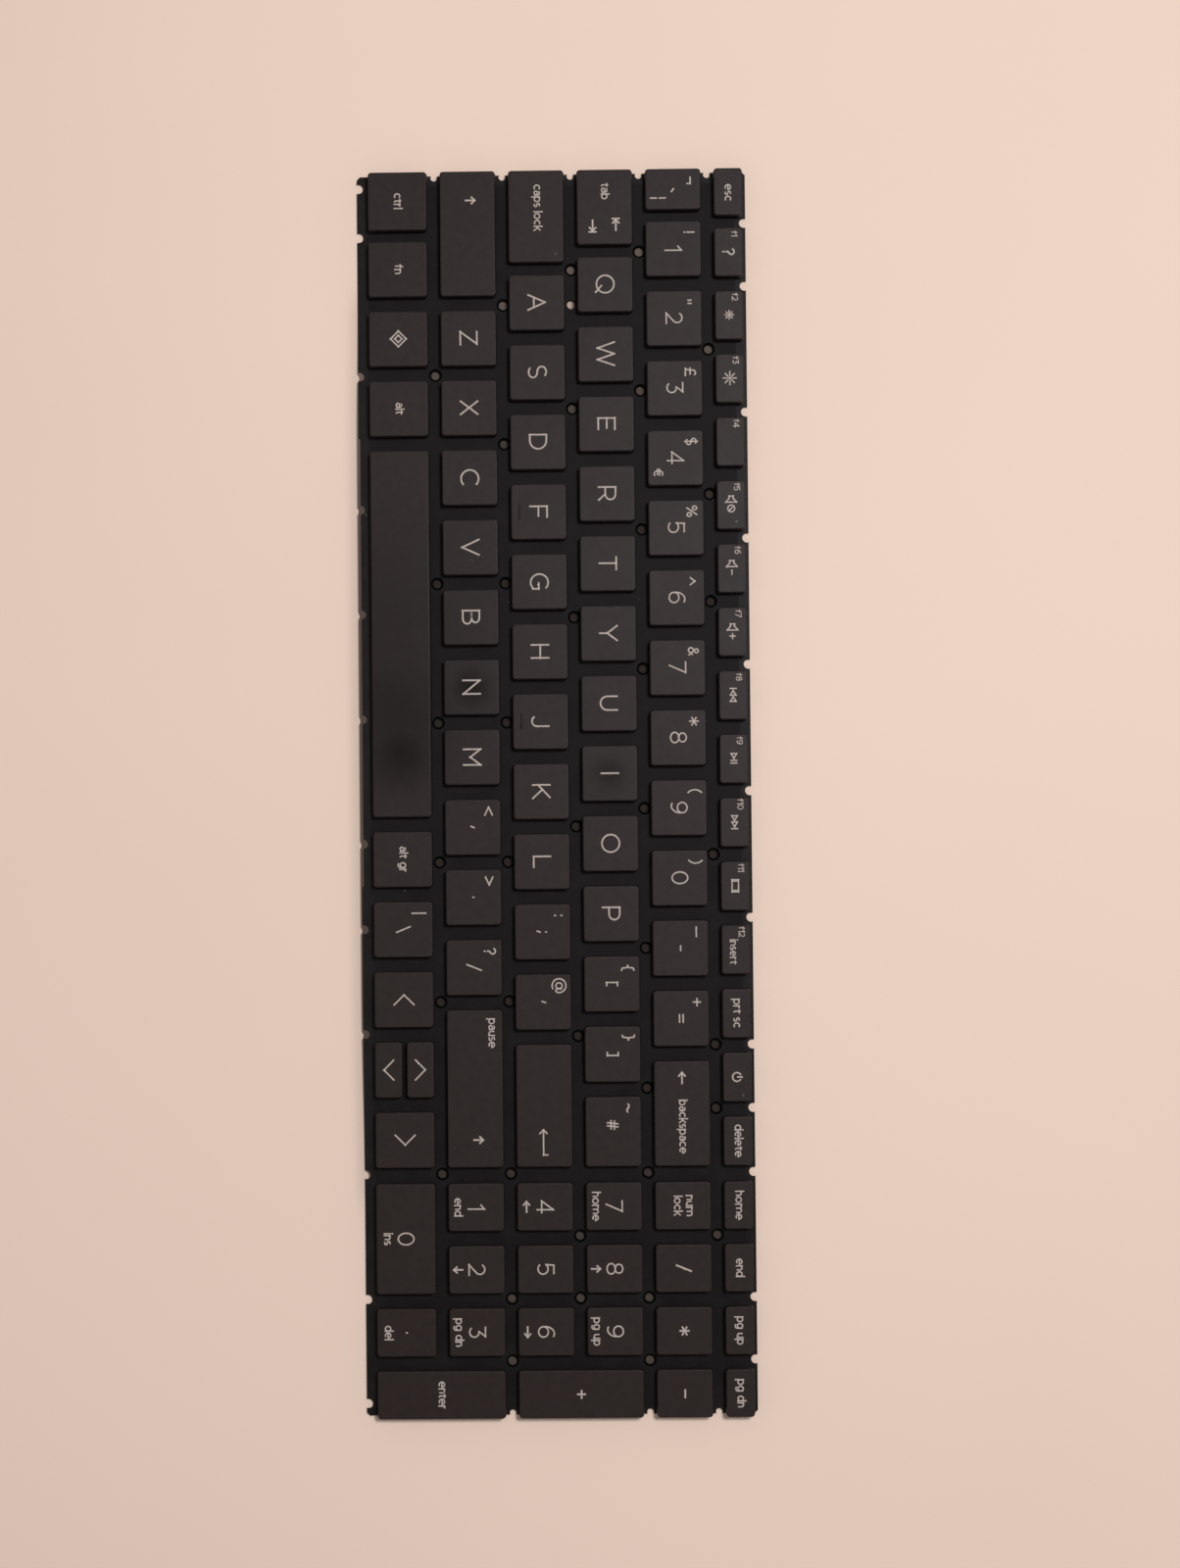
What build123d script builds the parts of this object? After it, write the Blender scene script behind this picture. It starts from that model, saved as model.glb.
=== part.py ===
# Laptop replacement keyboard, taken out of its laptop.
# A steel base plate carries a switch membrane, rubber domes, scissor links and 101 keys.
# X runs along the rows from left to right, Y from the space bar to the function row, Z up.
# The origin is under the middle of the base plate.

import os
from math import atan2, degrees

from build123d import *

# Key layout, millimetres
KEY_PITCH = 18.7             # one typing key to the next along a row
KEY_GAP = 4.1                # between two key tops in a row
ROW_GAP = 3.75               # between two rows of key tops
CAP_DEPTH = 14.6             # front to back of a typing key's top
FUNCTION_CAP_DEPTH = 7.35    # the same in the function row
SPACE_CAP_DEPTH = 15.5       # the same in the space bar's row
HALF_KEY_GAP = 1.5           # between the up and the down key
FUNCTION_PITCH = 16.95       # one function key to the next
KEYPAD_PITCH = 16.6          # one number pad column to the next
MAIN_BLOCK_UNITS = 14.45     # length of the main block in key pitches
BLOCK_GAP = 4.4              # between the main block and the number pad

# Base plate and membrane
BACK_MARGIN = 1.05           # plate behind the function row
FRONT_MARGIN = 3.35          # plate in front of the space bar's row
END_OVERHANG = 0.2           # key tops beyond each end of the plate
PLATE_THICKNESS = 0.5
PLATE_CORNER_CUT = 0.8       # slanted corner of the plate
POST_HOLE_RADIUS = 1.2       # for the posts of the laptop's top cover
SMALL_ROUND_SIDES = 10       # sides of a notch, and of a hole that locates nothing
NOTCH_RADIUS = 1.3           # round notch for a post at the plate's front or back edge
NOTCH_INSET = 0.4            # from the plate's edge in to the notch's centre
END_NOTCH_RADIUS = 0.95      # the same at the plate's two ends
END_NOTCH_INSET = 0.45
FRONT_STEP = 0.45            # the front edge lies this far back along the space bar
MEMBRANE_THICKNESS = 0.3     # two printed films and the spacer between them
MEMBRANE_INSET = 2.9         # from the plate's edge in to the membrane's edge
MEMBRANE_HOLE_RADIUS = 1.75  # six-sided window round a post hole

# Keycaps
CAP_HEIGHT = 2.0
CAP_FLARE = 0.2              # spread of the skirt below the top, each side
CAP_EDGE = 0.3               # bevel round the top
CAP_WALL = 0.7
CAP_ROOF = 0.9
KEY_TRAVEL = 1.5
PRESSED_CLEARANCE = 0.2      # skirt above the membrane at full press
HOMING_BAR = (4.0, 0.5, 0.2)
HOMING_BAR_FROM_FRONT = 2.2

# Domes, scissor links and stabiliser bars
DOME_BASE_RADIUS = 2.3       # to the middle of a side
DOME_TOP_RADIUS = 1.3
DOME_SIDES = 6
LINK_WIDTH = 10.8            # along the row, over the outer link
LINK_SPAN = 9.6              # front to back
LINK_THICKNESS = 0.7
LINK_RAIL = 1.0              # width of a link's side rails
LINK_END_BAR = 1.3           # width of the bars across a link's ends
LINK_PAD = 0.9               # flat pad under and over a link's ends
LINK_CLEARANCE = 0.2         # between the nested links
SPACE_LINK_OFFSET = 26.0     # from the space bar's middle to each of its two scissor pairs
STABILISER_WIRE = 0.8
STABILISER_END_MARGIN = 4.0  # from the end of a key's top in to the wire's leg
STABILISER_EDGE_MARGIN = 1.1 # from the side of a key's top in to the wire's long run

# Levels worked out from the sizes above
MEMBRANE_TOP = PLATE_THICKNESS + MEMBRANE_THICKNESS
CAP_BOTTOM = MEMBRANE_TOP + PRESSED_CLEARANCE + KEY_TRAVEL
CAP_TOP = CAP_BOTTOM + CAP_HEIGHT
ROOF_UNDERSIDE = CAP_TOP - CAP_ROOF
LIFT = ROOF_UNDERSIDE - MEMBRANE_TOP

# Plan sizes worked out from the sizes above
MAIN_LENGTH = MAIN_BLOCK_UNITS * KEY_PITCH - KEY_GAP
KEYPAD_LENGTH = 4 * KEYPAD_PITCH - KEY_GAP
KEYS_LENGTH = MAIN_LENGTH + BLOCK_GAP + KEYPAD_LENGTH
KEYS_DEPTH = FUNCTION_CAP_DEPTH + 4 * CAP_DEPTH + SPACE_CAP_DEPTH + 5 * ROW_GAP
PLATE_LENGTH = KEYS_LENGTH - 2 * END_OVERHANG
PLATE_DEPTH = FRONT_MARGIN + KEYS_DEPTH + BACK_MARGIN
MAIN_LEFT = -KEYS_LENGTH / 2
MAIN_RIGHT = MAIN_LEFT + MAIN_LENGTH
KEYPAD_LEFT = MAIN_RIGHT + BLOCK_GAP
BLOCK_GAP_MIDDLE = MAIN_RIGHT + BLOCK_GAP / 2

# Rows of the main block, left to right, each key with its length in row pitches.
# The key marked FILL takes what the others leave of the block's length.
FILL = None
LETTERS_BY_ROW = {"row_2": "qwertyuiop", "row_3": "asdfghjkl", "row_4": "zxcvbnm"}


def single_keys(names):
    """Keys of one pitch each."""
    return [(name, 1.0) for name in names]


MAIN_ROWS = {
    "function_row": [("escape", FILL)]
    + single_keys([f"f{number}" for number in range(1, 13)] + ["print_screen", "power", "delete"]),
    "row_1": [("grave", 0.75)]
    + single_keys(list("1234567890") + ["minus", "equals"])
    + [("backspace", FILL)],
    "row_2": [("tab", 1.25)]
    + single_keys(list(LETTERS_BY_ROW["row_2"]) + ["left_bracket", "right_bracket"])
    + [("hash", FILL)],
    "row_3": [("caps_lock", 1.5)]
    + single_keys(list(LETTERS_BY_ROW["row_3"]) + ["semicolon", "quote"])
    + [("enter", FILL)],
    "row_4": [("left_shift", 2.0)]
    + single_keys(list(LETTERS_BY_ROW["row_4"]) + ["comma", "period", "slash"])
    + [("right_shift", FILL)],
    "row_5": single_keys(["control", "fn", "system", "alt"])
    + [("space", FILL)]
    + single_keys(["alt_gr", "backslash", "left", "up_and_down", "right"]),
}
KEYPAD_ROWS = {
    "function_row": ["home", "end", "page_up", "page_down"],
    "row_1": ["num_lock", "pad_divide", "pad_multiply", "pad_subtract"],
    "row_2": ["pad_7", "pad_8", "pad_9"],
    "row_3": ["pad_4", "pad_5", "pad_6"],
    "row_4": ["pad_1", "pad_2", "pad_3"],
}
ROW_NAMES = list(MAIN_ROWS)
ROW_DEPTHS = {name: CAP_DEPTH for name in ROW_NAMES}
ROW_DEPTHS["function_row"] = FUNCTION_CAP_DEPTH
ROW_DEPTHS["row_5"] = SPACE_CAP_DEPTH

# Keys that press on their own, each on a pair of scissor links of its own
PRESSING_KEYS = (
    list("1234567890")
    + list("".join(LETTERS_BY_ROW.values()))
    + ["minus", "equals", "left_bracket", "right_bracket", "hash", "semicolon", "quote"]
    + ["comma", "period", "slash", "backslash", "space", "tab", "enter", "backspace"]
)
EDGE_KEYS = (
    ["grave", "caps_lock", "left_shift", "right_shift", "control", "fn", "system", "alt"]
    + ["alt_gr", "left", "up", "down", "right"]
)
HOMING_KEYS = ["f", "j"]
LONG_KEYS = ["space", "enter", "backspace", "left_shift", "right_shift", "pad_0"]
TALL_KEYS = ["pad_add", "pad_enter"]

# Post holes in the gap in front of each row, each in line with the gap to the right of a key.
# The end holes in front of the locating rows locate the plate.
POST_HOLES = {
    "function_row": ["f2", "4", "f6", "f10", "print_screen", "power", "home"],
    "row_1": ["tab", "w", "r", "y", "i", "p", "right_bracket", "hash", "pad_8", "pad_9"],
    "row_2": ["caps_lock", "s", "g", "k", "quote", "pad_4", "pad_5"],
    "row_3": ["left_shift", "x", "v", "n", "comma", "slash", "right_shift", "pad_2", "pad_3"],
    "row_4": ["z", "v", "n", "comma", "slash", "right_shift"],
}
LOCATING_ROWS = ["row_1", "row_3"]
EXTRA_HOLE_KEY = "a"                     # one hole stands behind the middle of this key

# Edge notches, most of them in line with the gap to the right of a key
BACK_NOTCHES = ["escape", "f1", "f3", "f5", "f7", "f9", "f11", "print_screen", "power"]
BACK_NOTCHES += ["delete", "end", "page_up"]
FRONT_NOTCHES = ["control", "system", "left", "right", "pad_0"]
SPACE_NOTCH_COUNT = 3                    # notches along the space bar
SPACE_NOTCH_START = 15.1                 # from the space bar's left end to the first of them
SPACE_NOTCH_STEP = 28.2
ALT_GR_NOTCH = 3.0                       # from that key's left end to a notch
CORNER_NOTCH = 3.2                       # from each end of the plate to a notch in the front edge
RIGHT_NOTCH_ROWS = ["function_row", "row_1", "row_3"]


class Key:
    """One key: its name and the place and size of its top in plan."""

    def __init__(self, name, left, right, front, back):
        self.name = name
        self.left = left
        self.right = right
        self.front = front
        self.back = back
        self.width = right - left
        self.depth = back - front
        self.place = Pos((left + right) / 2, (front + back) / 2)


def row_edges():
    """Front and back edge of every row of key tops, from the function row forward."""
    edges = {}
    back = PLATE_DEPTH / 2 - BACK_MARGIN
    for name in ROW_NAMES:
        edges[name] = (back - ROW_DEPTHS[name], back)
        back -= ROW_DEPTHS[name] + ROW_GAP
    return edges


ROW_EDGES = row_edges()


def lay_main_row(row):
    """Left and right edge of every key in one row of the main block."""
    pitch = FUNCTION_PITCH if row == "function_row" else KEY_PITCH
    taken = sum(units * pitch for _, units in MAIN_ROWS[row] if units is not FILL)
    left = MAIN_LEFT
    spans = {}
    for name, units in MAIN_ROWS[row]:
        step = MAIN_LENGTH + KEY_GAP - taken if units is FILL else units * pitch
        spans[name] = (left, left + step - KEY_GAP)
        left += step
    return spans


MAIN_SPANS = {row: lay_main_row(row) for row in ROW_NAMES}


def keypad_span(column, columns=1):
    """Left and right edge of a number pad key that starts at a column."""
    left = KEYPAD_LEFT + column * KEYPAD_PITCH
    return left, left + columns * KEYPAD_PITCH - KEY_GAP


def lay_keys():
    """All keys by name."""
    keys = []
    for row, spans in MAIN_SPANS.items():
        front, back = ROW_EDGES[row]
        keys += [Key(name, *span, front, back) for name, span in spans.items() if name != "up_and_down"]
    for row, names in KEYPAD_ROWS.items():
        front, back = ROW_EDGES[row]
        keys += [Key(name, *keypad_span(column), front, back) for column, name in enumerate(names)]

    # The up and down keys share one place in the space bar's row
    front, back = ROW_EDGES["row_5"]
    half_depth = (back - front - HALF_KEY_GAP) / 2
    arrows = MAIN_SPANS["row_5"]["up_and_down"]
    keys.append(Key("up", *arrows, back - half_depth, back))
    keys.append(Key("down", *arrows, front, front + half_depth))

    # The number pad's large keys
    keys.append(Key("pad_0", *keypad_span(0, 2), front, back))
    keys.append(Key("pad_point", *keypad_span(2), front, back))
    keys.append(Key("pad_add", *keypad_span(3), ROW_EDGES["row_3"][0], ROW_EDGES["row_2"][1]))
    keys.append(Key("pad_enter", *keypad_span(3), front, ROW_EDGES["row_4"][1]))
    return {key.name: key for key in keys}


KEYS = lay_keys()


def gap_after(name):
    """X of the middle of the gap to the right of a key."""
    right = KEYS[name].right
    ends_main_block = abs(right - MAIN_RIGHT) < KEY_GAP / 2
    return BLOCK_GAP_MIDDLE if ends_main_block else right + KEY_GAP / 2


def row_gap(row):
    """Y of the middle of the gap in front of a row."""
    return ROW_EDGES[row][0] - ROW_GAP / 2


def post_hole_places():
    """Plan positions of the locating holes, and of all the other post holes."""
    locating = []
    others = []
    for row, names in POST_HOLES.items():
        places = [(gap_after(name), row_gap(row)) for name in names]
        if row in LOCATING_ROWS:
            locating += [places[0], places[-1]]
            places = places[1:-1]
        others += places
    extra_key = KEYS[EXTRA_HOLE_KEY]
    others.append(((extra_key.left + extra_key.right) / 2, row_gap("row_2")))
    return locating, others


def end_notch_places():
    """Centre of every notch in the plate's two ends."""
    side = PLATE_LENGTH / 2 - END_NOTCH_INSET
    places = [(-side, row_gap(row)) for row in ROW_NAMES[:-1]]
    return places + [(side, row_gap(row)) for row in RIGHT_NOTCH_ROWS]


def long_edge_notch_places():
    """Centre of every notch in the plate's back and front edge."""
    edge = PLATE_DEPTH / 2 - NOTCH_INSET
    first = KEYS["space"].left + SPACE_NOTCH_START
    backslash = KEYS["backslash"]
    front = [gap_after(name) for name in FRONT_NOTCHES]
    front += [first + number * SPACE_NOTCH_STEP for number in range(SPACE_NOTCH_COUNT)]
    front += [KEYS["alt_gr"].left + ALT_GR_NOTCH, (backslash.left + backslash.right) / 2]
    front += [sign * (PLATE_LENGTH / 2 - CORNER_NOTCH) for sign in (-1, 1)]
    return [(gap_after(name), edge) for name in BACK_NOTCHES] + [(x, -edge) for x in front]


def make_base_plate():
    """Stamped steel plate with post holes, edge notches and a stepped front edge."""
    outline = Rectangle(PLATE_LENGTH, PLATE_DEPTH)
    outline = chamfer(outline.vertices(), PLATE_CORNER_CUT)
    step_left = KEYS["alt"].right
    step_right = KEYS["alt_gr"].right
    step_place = Pos((step_left + step_right) / 2, -PLATE_DEPTH / 2)
    locating, others = post_hole_places()
    post_hole = RegularPolygon(POST_HOLE_RADIUS, SMALL_ROUND_SIDES)
    notch = RegularPolygon(NOTCH_RADIUS, SMALL_ROUND_SIDES)
    end_notch = RegularPolygon(END_NOTCH_RADIUS, SMALL_ROUND_SIDES)
    cuts = [step_place * Rectangle(step_right - step_left, 2 * FRONT_STEP)]
    cuts += [Pos(x, y) * Circle(POST_HOLE_RADIUS) for x, y in locating]
    cuts += [Pos(x, y) * post_hole for x, y in others]
    cuts += [Pos(x, y) * notch for x, y in long_edge_notch_places()]
    cuts += [Pos(x, y) * end_notch for x, y in end_notch_places()]
    return extrude(outline - cuts, PLATE_THICKNESS)


def make_membrane_sheet():
    """Switch membrane on the plate, with a window round every post hole."""
    outline = Rectangle(PLATE_LENGTH - 2 * MEMBRANE_INSET, PLATE_DEPTH - 2 * MEMBRANE_INSET)
    window = RegularPolygon(MEMBRANE_HOLE_RADIUS, 6, major_radius=False)
    locating, others = post_hole_places()
    windows = [Pos(x, y) * window for x, y in locating + others]
    return extrude(Pos(Z=PLATE_THICKNESS) * (outline - windows), MEMBRANE_THICKNESS)


def make_dome():
    """Rubber dome that stands on the membrane and carries the key's roof."""
    base = Pos(Z=MEMBRANE_TOP) * RegularPolygon(DOME_BASE_RADIUS, DOME_SIDES, major_radius=False)
    return extrude(base, LIFT, taper=degrees(atan2(DOME_BASE_RADIUS - DOME_TOP_RADIUS, LIFT)))


def make_cap(key):
    """Hollow keycap: a flared skirt, a bevelled top and a roof."""
    foot = Pos(Z=CAP_BOTTOM)
    skirt = foot * Rectangle(key.width + 2 * CAP_FLARE, key.depth + 2 * CAP_FLARE)
    cap = extrude(skirt, CAP_HEIGHT, taper=degrees(atan2(CAP_FLARE, CAP_HEIGHT)))
    cap = chamfer(cap.faces().sort_by(Axis.Z)[-1].edges(), CAP_EDGE)
    hollow = foot * Rectangle(key.width - 2 * CAP_WALL, key.depth - 2 * CAP_WALL)
    cap -= extrude(hollow, CAP_HEIGHT - CAP_ROOF)
    if key.name in HOMING_KEYS:
        length, width, height = HOMING_BAR
        y = HOMING_BAR_FROM_FRONT - key.depth / 2
        cap += Pos(0, y, CAP_TOP) * Box(length, width, 2 * height)
    return key.place * cap


def make_link(width):
    """Scissor link that rises from the membrane in front to the key's roof behind."""
    half = LINK_SPAN / 2
    profile = Polyline(
        (-half, MEMBRANE_TOP),
        (-half + LINK_PAD, MEMBRANE_TOP),
        (half, ROOF_UNDERSIDE - LINK_THICKNESS),
        (half, ROOF_UNDERSIDE),
        (half - LINK_PAD, ROOF_UNDERSIDE),
        (-half, MEMBRANE_TOP + LINK_THICKNESS),
        close=True,
    )
    link = extrude(Plane.YZ * make_face(profile), width / 2, both=True)
    opening = Box(width - 2 * LINK_RAIL, LINK_SPAN - 2 * LINK_END_BAR, 2 * CAP_TOP)
    return link - opening


def link_places(key):
    """Middle of each scissor pair under a key."""
    if key.name == "space":
        return [Pos(sign * SPACE_LINK_OFFSET) * key.place for sign in (-1, 1)]
    return [key.place]


def make_stabiliser(length, depth):
    """Bent wire under a long key: one long run below the roof, and a leg down at each end."""
    run_y = -depth / 2 + CAP_WALL + STABILISER_EDGE_MARGIN
    leg_x = length / 2 - STABILISER_END_MARGIN
    wire = STABILISER_WIRE
    run = Pos(0, run_y, ROOF_UNDERSIDE - wire / 2) * Box(2 * leg_x + wire, wire, wire)
    leg_profile = Polyline(
        (run_y - wire / 2, ROOF_UNDERSIDE),
        (run_y - wire / 2, ROOF_UNDERSIDE - wire),
        (LINK_SPAN / 2 - wire, MEMBRANE_TOP),
        (LINK_SPAN / 2, MEMBRANE_TOP),
        (LINK_SPAN / 2, MEMBRANE_TOP + wire),
        (run_y + wire / 2, ROOF_UNDERSIDE),
        close=True,
    )
    leg = extrude(Plane.YZ * make_face(leg_profile), wire / 2, both=True)
    return run + [Pos(sign * leg_x) * leg for sign in (-1, 1)]


def make_stabiliser_bars():
    """Stabilisers of the long keys, and of the tall ones with their length along Y."""
    bars = [key.place * make_stabiliser(key.width, key.depth) for key in map(KEYS.get, LONG_KEYS)]
    for key in map(KEYS.get, TALL_KEYS):
        bars.append(key.place * Rot(Z=90) * make_stabiliser(key.depth, key.width))
    return bars


def key_group(names):
    """Keycaps of several keys as one node."""
    return [make_cap(KEYS[name]) for name in names]


def write_node(name, *solids):
    """Write one node's solids to its file."""
    shape = solids[0] if len(solids) == 1 else Compound(children=list(solids))
    export_step(shape, os.path.join("parts", f"{name}.step"))


def main():
    os.makedirs("parts", exist_ok=True)
    dome = make_dome()
    outer_link = make_link(LINK_WIDTH)
    inner_link = Rot(Z=180) * make_link(LINK_WIDTH - 2 * (LINK_RAIL + LINK_CLEARANCE))
    pressing = [KEYS[name] for name in PRESSING_KEYS]
    pair_places = [place for key in pressing for place in link_places(key)]

    write_node("base_plate", make_base_plate())
    write_node("membrane_sheet", make_membrane_sheet())
    write_node("rubber_domes", *[key.place * dome for key in KEYS.values()])
    write_node("scissor_outer_links", *[place * outer_link for place in pair_places])
    write_node("scissor_inner_links", *[place * inner_link for place in pair_places])
    write_node("stabiliser_bars", *make_stabiliser_bars())

    number_pad = [name for name in KEYS if name.startswith("pad_")] + ["num_lock"]
    function_keys = list(MAIN_SPANS["function_row"]) + KEYPAD_ROWS["function_row"]
    write_node("function_row_keys", *key_group(function_keys))
    write_node("number_pad_keys", *key_group(number_pad))
    write_node("edge_keys", *key_group(EDGE_KEYS))
    for key in pressing:
        write_node(f"key_{key.name}", make_cap(key))


main()
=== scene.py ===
"""Looks of a laptop replacement keyboard, dressed onto the packed solids."""

from functools import reduce
from math import atan2, cos, hypot, pi, radians, sin
from operator import or_

import bmesh
import bpy
from bpy.props import FloatProperty, FloatVectorProperty, PointerProperty
from mathutils import Matrix, Vector


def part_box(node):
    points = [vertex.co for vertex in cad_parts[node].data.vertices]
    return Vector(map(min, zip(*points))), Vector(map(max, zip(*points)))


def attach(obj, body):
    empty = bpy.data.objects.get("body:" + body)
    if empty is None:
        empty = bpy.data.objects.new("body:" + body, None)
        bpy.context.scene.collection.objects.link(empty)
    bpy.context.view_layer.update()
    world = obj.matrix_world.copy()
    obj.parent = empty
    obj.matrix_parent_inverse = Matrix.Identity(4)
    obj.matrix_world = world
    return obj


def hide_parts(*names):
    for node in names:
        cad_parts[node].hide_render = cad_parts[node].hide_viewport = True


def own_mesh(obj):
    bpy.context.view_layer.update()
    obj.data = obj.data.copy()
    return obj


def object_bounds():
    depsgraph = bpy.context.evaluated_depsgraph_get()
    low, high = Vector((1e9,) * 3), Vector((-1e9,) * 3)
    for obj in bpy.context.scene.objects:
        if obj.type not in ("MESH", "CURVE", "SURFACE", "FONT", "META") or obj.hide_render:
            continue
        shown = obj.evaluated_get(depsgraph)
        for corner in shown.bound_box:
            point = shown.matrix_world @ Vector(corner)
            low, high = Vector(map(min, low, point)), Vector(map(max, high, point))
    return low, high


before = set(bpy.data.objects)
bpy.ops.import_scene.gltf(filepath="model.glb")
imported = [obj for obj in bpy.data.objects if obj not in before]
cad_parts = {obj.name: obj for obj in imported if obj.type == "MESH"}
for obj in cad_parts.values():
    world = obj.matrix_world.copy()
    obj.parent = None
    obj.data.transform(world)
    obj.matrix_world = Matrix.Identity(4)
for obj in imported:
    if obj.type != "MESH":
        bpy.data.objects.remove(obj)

bl_info = {
    "name": "Laptop Keyboard",
    "version": (1, 0, 0),
    "blender": (4, 5, 0),
    "location": "View3D > Sidebar > Keyboard",
    "description": "Key tops with printed legends, key mechanisms, sheet, plate and stage",
    "category": "Object",
}

# Measures taken from the packed solids, in metres
MM = 0.001
CAD_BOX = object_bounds()
SHEET_LOW, SHEET_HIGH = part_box("membrane_sheet")
CAP_LOW, CAP_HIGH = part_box("key_q")
DOME_LOW, DOME_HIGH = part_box("rubber_domes")
CAP_HEIGHT = CAP_HIGH.z - CAP_LOW.z

# Keys in the order in which their solids are found, back row first and left to right
FUNCTION_KEYS = (
    ["escape"]
    + [f"f{number}" for number in range(1, 13)]
    + ["print_screen", "power", "delete", "home", "end", "page_up", "page_down"]
)
NUMBER_PAD_KEYS = [
    "num_lock", "pad_divide", "pad_multiply", "pad_subtract",
    "pad_7", "pad_8", "pad_9", "pad_add",
    "pad_4", "pad_5", "pad_6",
    "pad_1", "pad_2", "pad_3", "pad_enter",
    "pad_0", "pad_point",
]
EDGE_KEYS = [
    "grave", "caps_lock", "left_shift", "right_shift",
    "control", "fn", "system", "alt", "alt_gr", "left", "up", "right", "down",
]
PRESSING_KEYS = [name[len("key_"):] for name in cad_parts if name.startswith("key_")]
WIRED_KEYS = ["space", "enter", "backspace"]
HOMING_KEYS = ["f", "j"]

# Keys at the left end whose tops reach a little past their solids to the right, in millimetres
WIDER_KEYS = {"escape": 0.6, "grave": 0.8, "tab": 0.6, "caps_lock": 0.5, "control": 0.8}


# Letter shapes, as strokes at a capital height of one


def arc(x, y, across, up, start, stop):
    """Points along part of an ellipse, between two angles in degrees."""
    steps = max(2, round(abs(stop - start) / 18))
    turns = [radians(start + (stop - start) * step / steps) for step in range(steps + 1)]
    return [(x + across * cos(turn), y + up * sin(turn)) for turn in turns]


def dot(x, y):
    """A stroke so short that only its square ends show."""
    return [(x, y - 0.005), (x, y + 0.005)]


def shifted(strokes, across, up):
    """The same strokes, moved."""
    return [[(x + across, y + up) for x, y in stroke] for stroke in strokes]


def scaled(strokes, across, up):
    """The same strokes, made larger or turned over."""
    return [[(x * across, y * up) for x, y in stroke] for stroke in strokes]


CAPITALS = {
    "A": [[(0, 0), (0.42, 1), (0.84, 0)], [(0.15, 0.32), (0.69, 0.32)]],
    "B": [
        [(0, 0), (0, 1)],
        [(0, 1), (0.42, 1)] + arc(0.42, 0.765, 0.26, 0.235, 72, -90) + [(0, 0.53)],
        [(0, 0.53), (0.46, 0.53)] + arc(0.46, 0.265, 0.29, 0.265, 72, -90) + [(0, 0)],
    ],
    "C": [arc(0.5, 0.5, 0.5, 0.5, 45, 315)],
    "D": [[(0, 0), (0, 1)], [(0, 1), (0.34, 1)] + arc(0.34, 0.5, 0.47, 0.5, 72, -90) + [(0, 0)]],
    "E": [[(0.62, 1), (0, 1), (0, 0), (0.62, 0)], [(0, 0.51), (0.55, 0.51)]],
    "F": [[(0.6, 1), (0, 1), (0, 0)], [(0, 0.48), (0.54, 0.48)]],
    "G": [arc(0.48, 0.5, 0.48, 0.5, 45, 318), [(0.84, 0.14), (0.84, 0.46), (0.52, 0.46)]],
    "H": [[(0, 0), (0, 1)], [(0.74, 0), (0.74, 1)], [(0, 0.51), (0.74, 0.51)]],
    "I": [[(0, 0), (0, 1)]],
    "J": [[(0.58, 1), (0.58, 0.3)] + arc(0.29, 0.29, 0.29, 0.29, -18, -155)],
    "K": [[(0, 0), (0, 1)], [(0.7, 1), (0, 0.3)], [(0.26, 0.56), (0.74, 0)]],
    "L": [[(0, 1), (0, 0), (0.58, 0)]],
    "M": [[(0, 0), (0, 1), (0.445, 0.38), (0.89, 1), (0.89, 0)]],
    "N": [[(0, 0), (0, 1), (0.77, 0), (0.77, 1)]],
    "O": [arc(0.5, 0.5, 0.5, 0.5, 0, 360)],
    "P": [[(0, 0), (0, 1)], [(0, 1), (0.38, 1)] + arc(0.38, 0.68, 0.32, 0.32, 72, -90) + [(0, 0.36)]],
    "Q": [arc(0.5, 0.5, 0.5, 0.5, 0, 360), [(0.6, 0.27), (0.94, -0.03)]],
    "R": [
        [(0, 0), (0, 1)],
        [(0, 1), (0.4, 1)] + arc(0.4, 0.69, 0.31, 0.31, 72, -90) + [(0, 0.38)],
        [(0.4, 0.38), (0.72, 0)],
    ],
    "S": [arc(0.33, 0.745, 0.3, 0.255, 40, 270) + arc(0.345, 0.245, 0.315, 0.245, 72, -145)],
    "T": [[(0, 1), (0.68, 1)], [(0.34, 1), (0.34, 0)]],
    "U": [[(0, 1), (0, 0.38)] + arc(0.39, 0.38, 0.39, 0.38, 198, 342) + [(0.78, 0.38), (0.78, 1)]],
    "V": [[(0, 1), (0.43, 0), (0.86, 1)]],
    "W": [[(0, 1), (0.33, 0), (0.66, 1), (0.99, 0), (1.32, 1)]],
    "X": [[(0, 0), (0.72, 1)], [(0, 1), (0.72, 0)]],
    "Y": [[(0, 1), (0.41, 0.42), (0.82, 1)], [(0.41, 0.42), (0.41, 0)]],
    "Z": [[(0.02, 1), (0.7, 1), (0, 0), (0.72, 0)]],
}
ROUND_CAPITALS = "CGJOQSU"
CAPITALS |= {
    name: shifted(scaled(strokes, 1, 0.94), 0, 0.03)
    for name, strokes in CAPITALS.items() if name not in ROUND_CAPITALS}
SIX = [arc(0.33, 0.31, 0.33, 0.31, 0, 360), arc(0.44, 0.42, 0.44, 0.58, 62, 190)]
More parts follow.
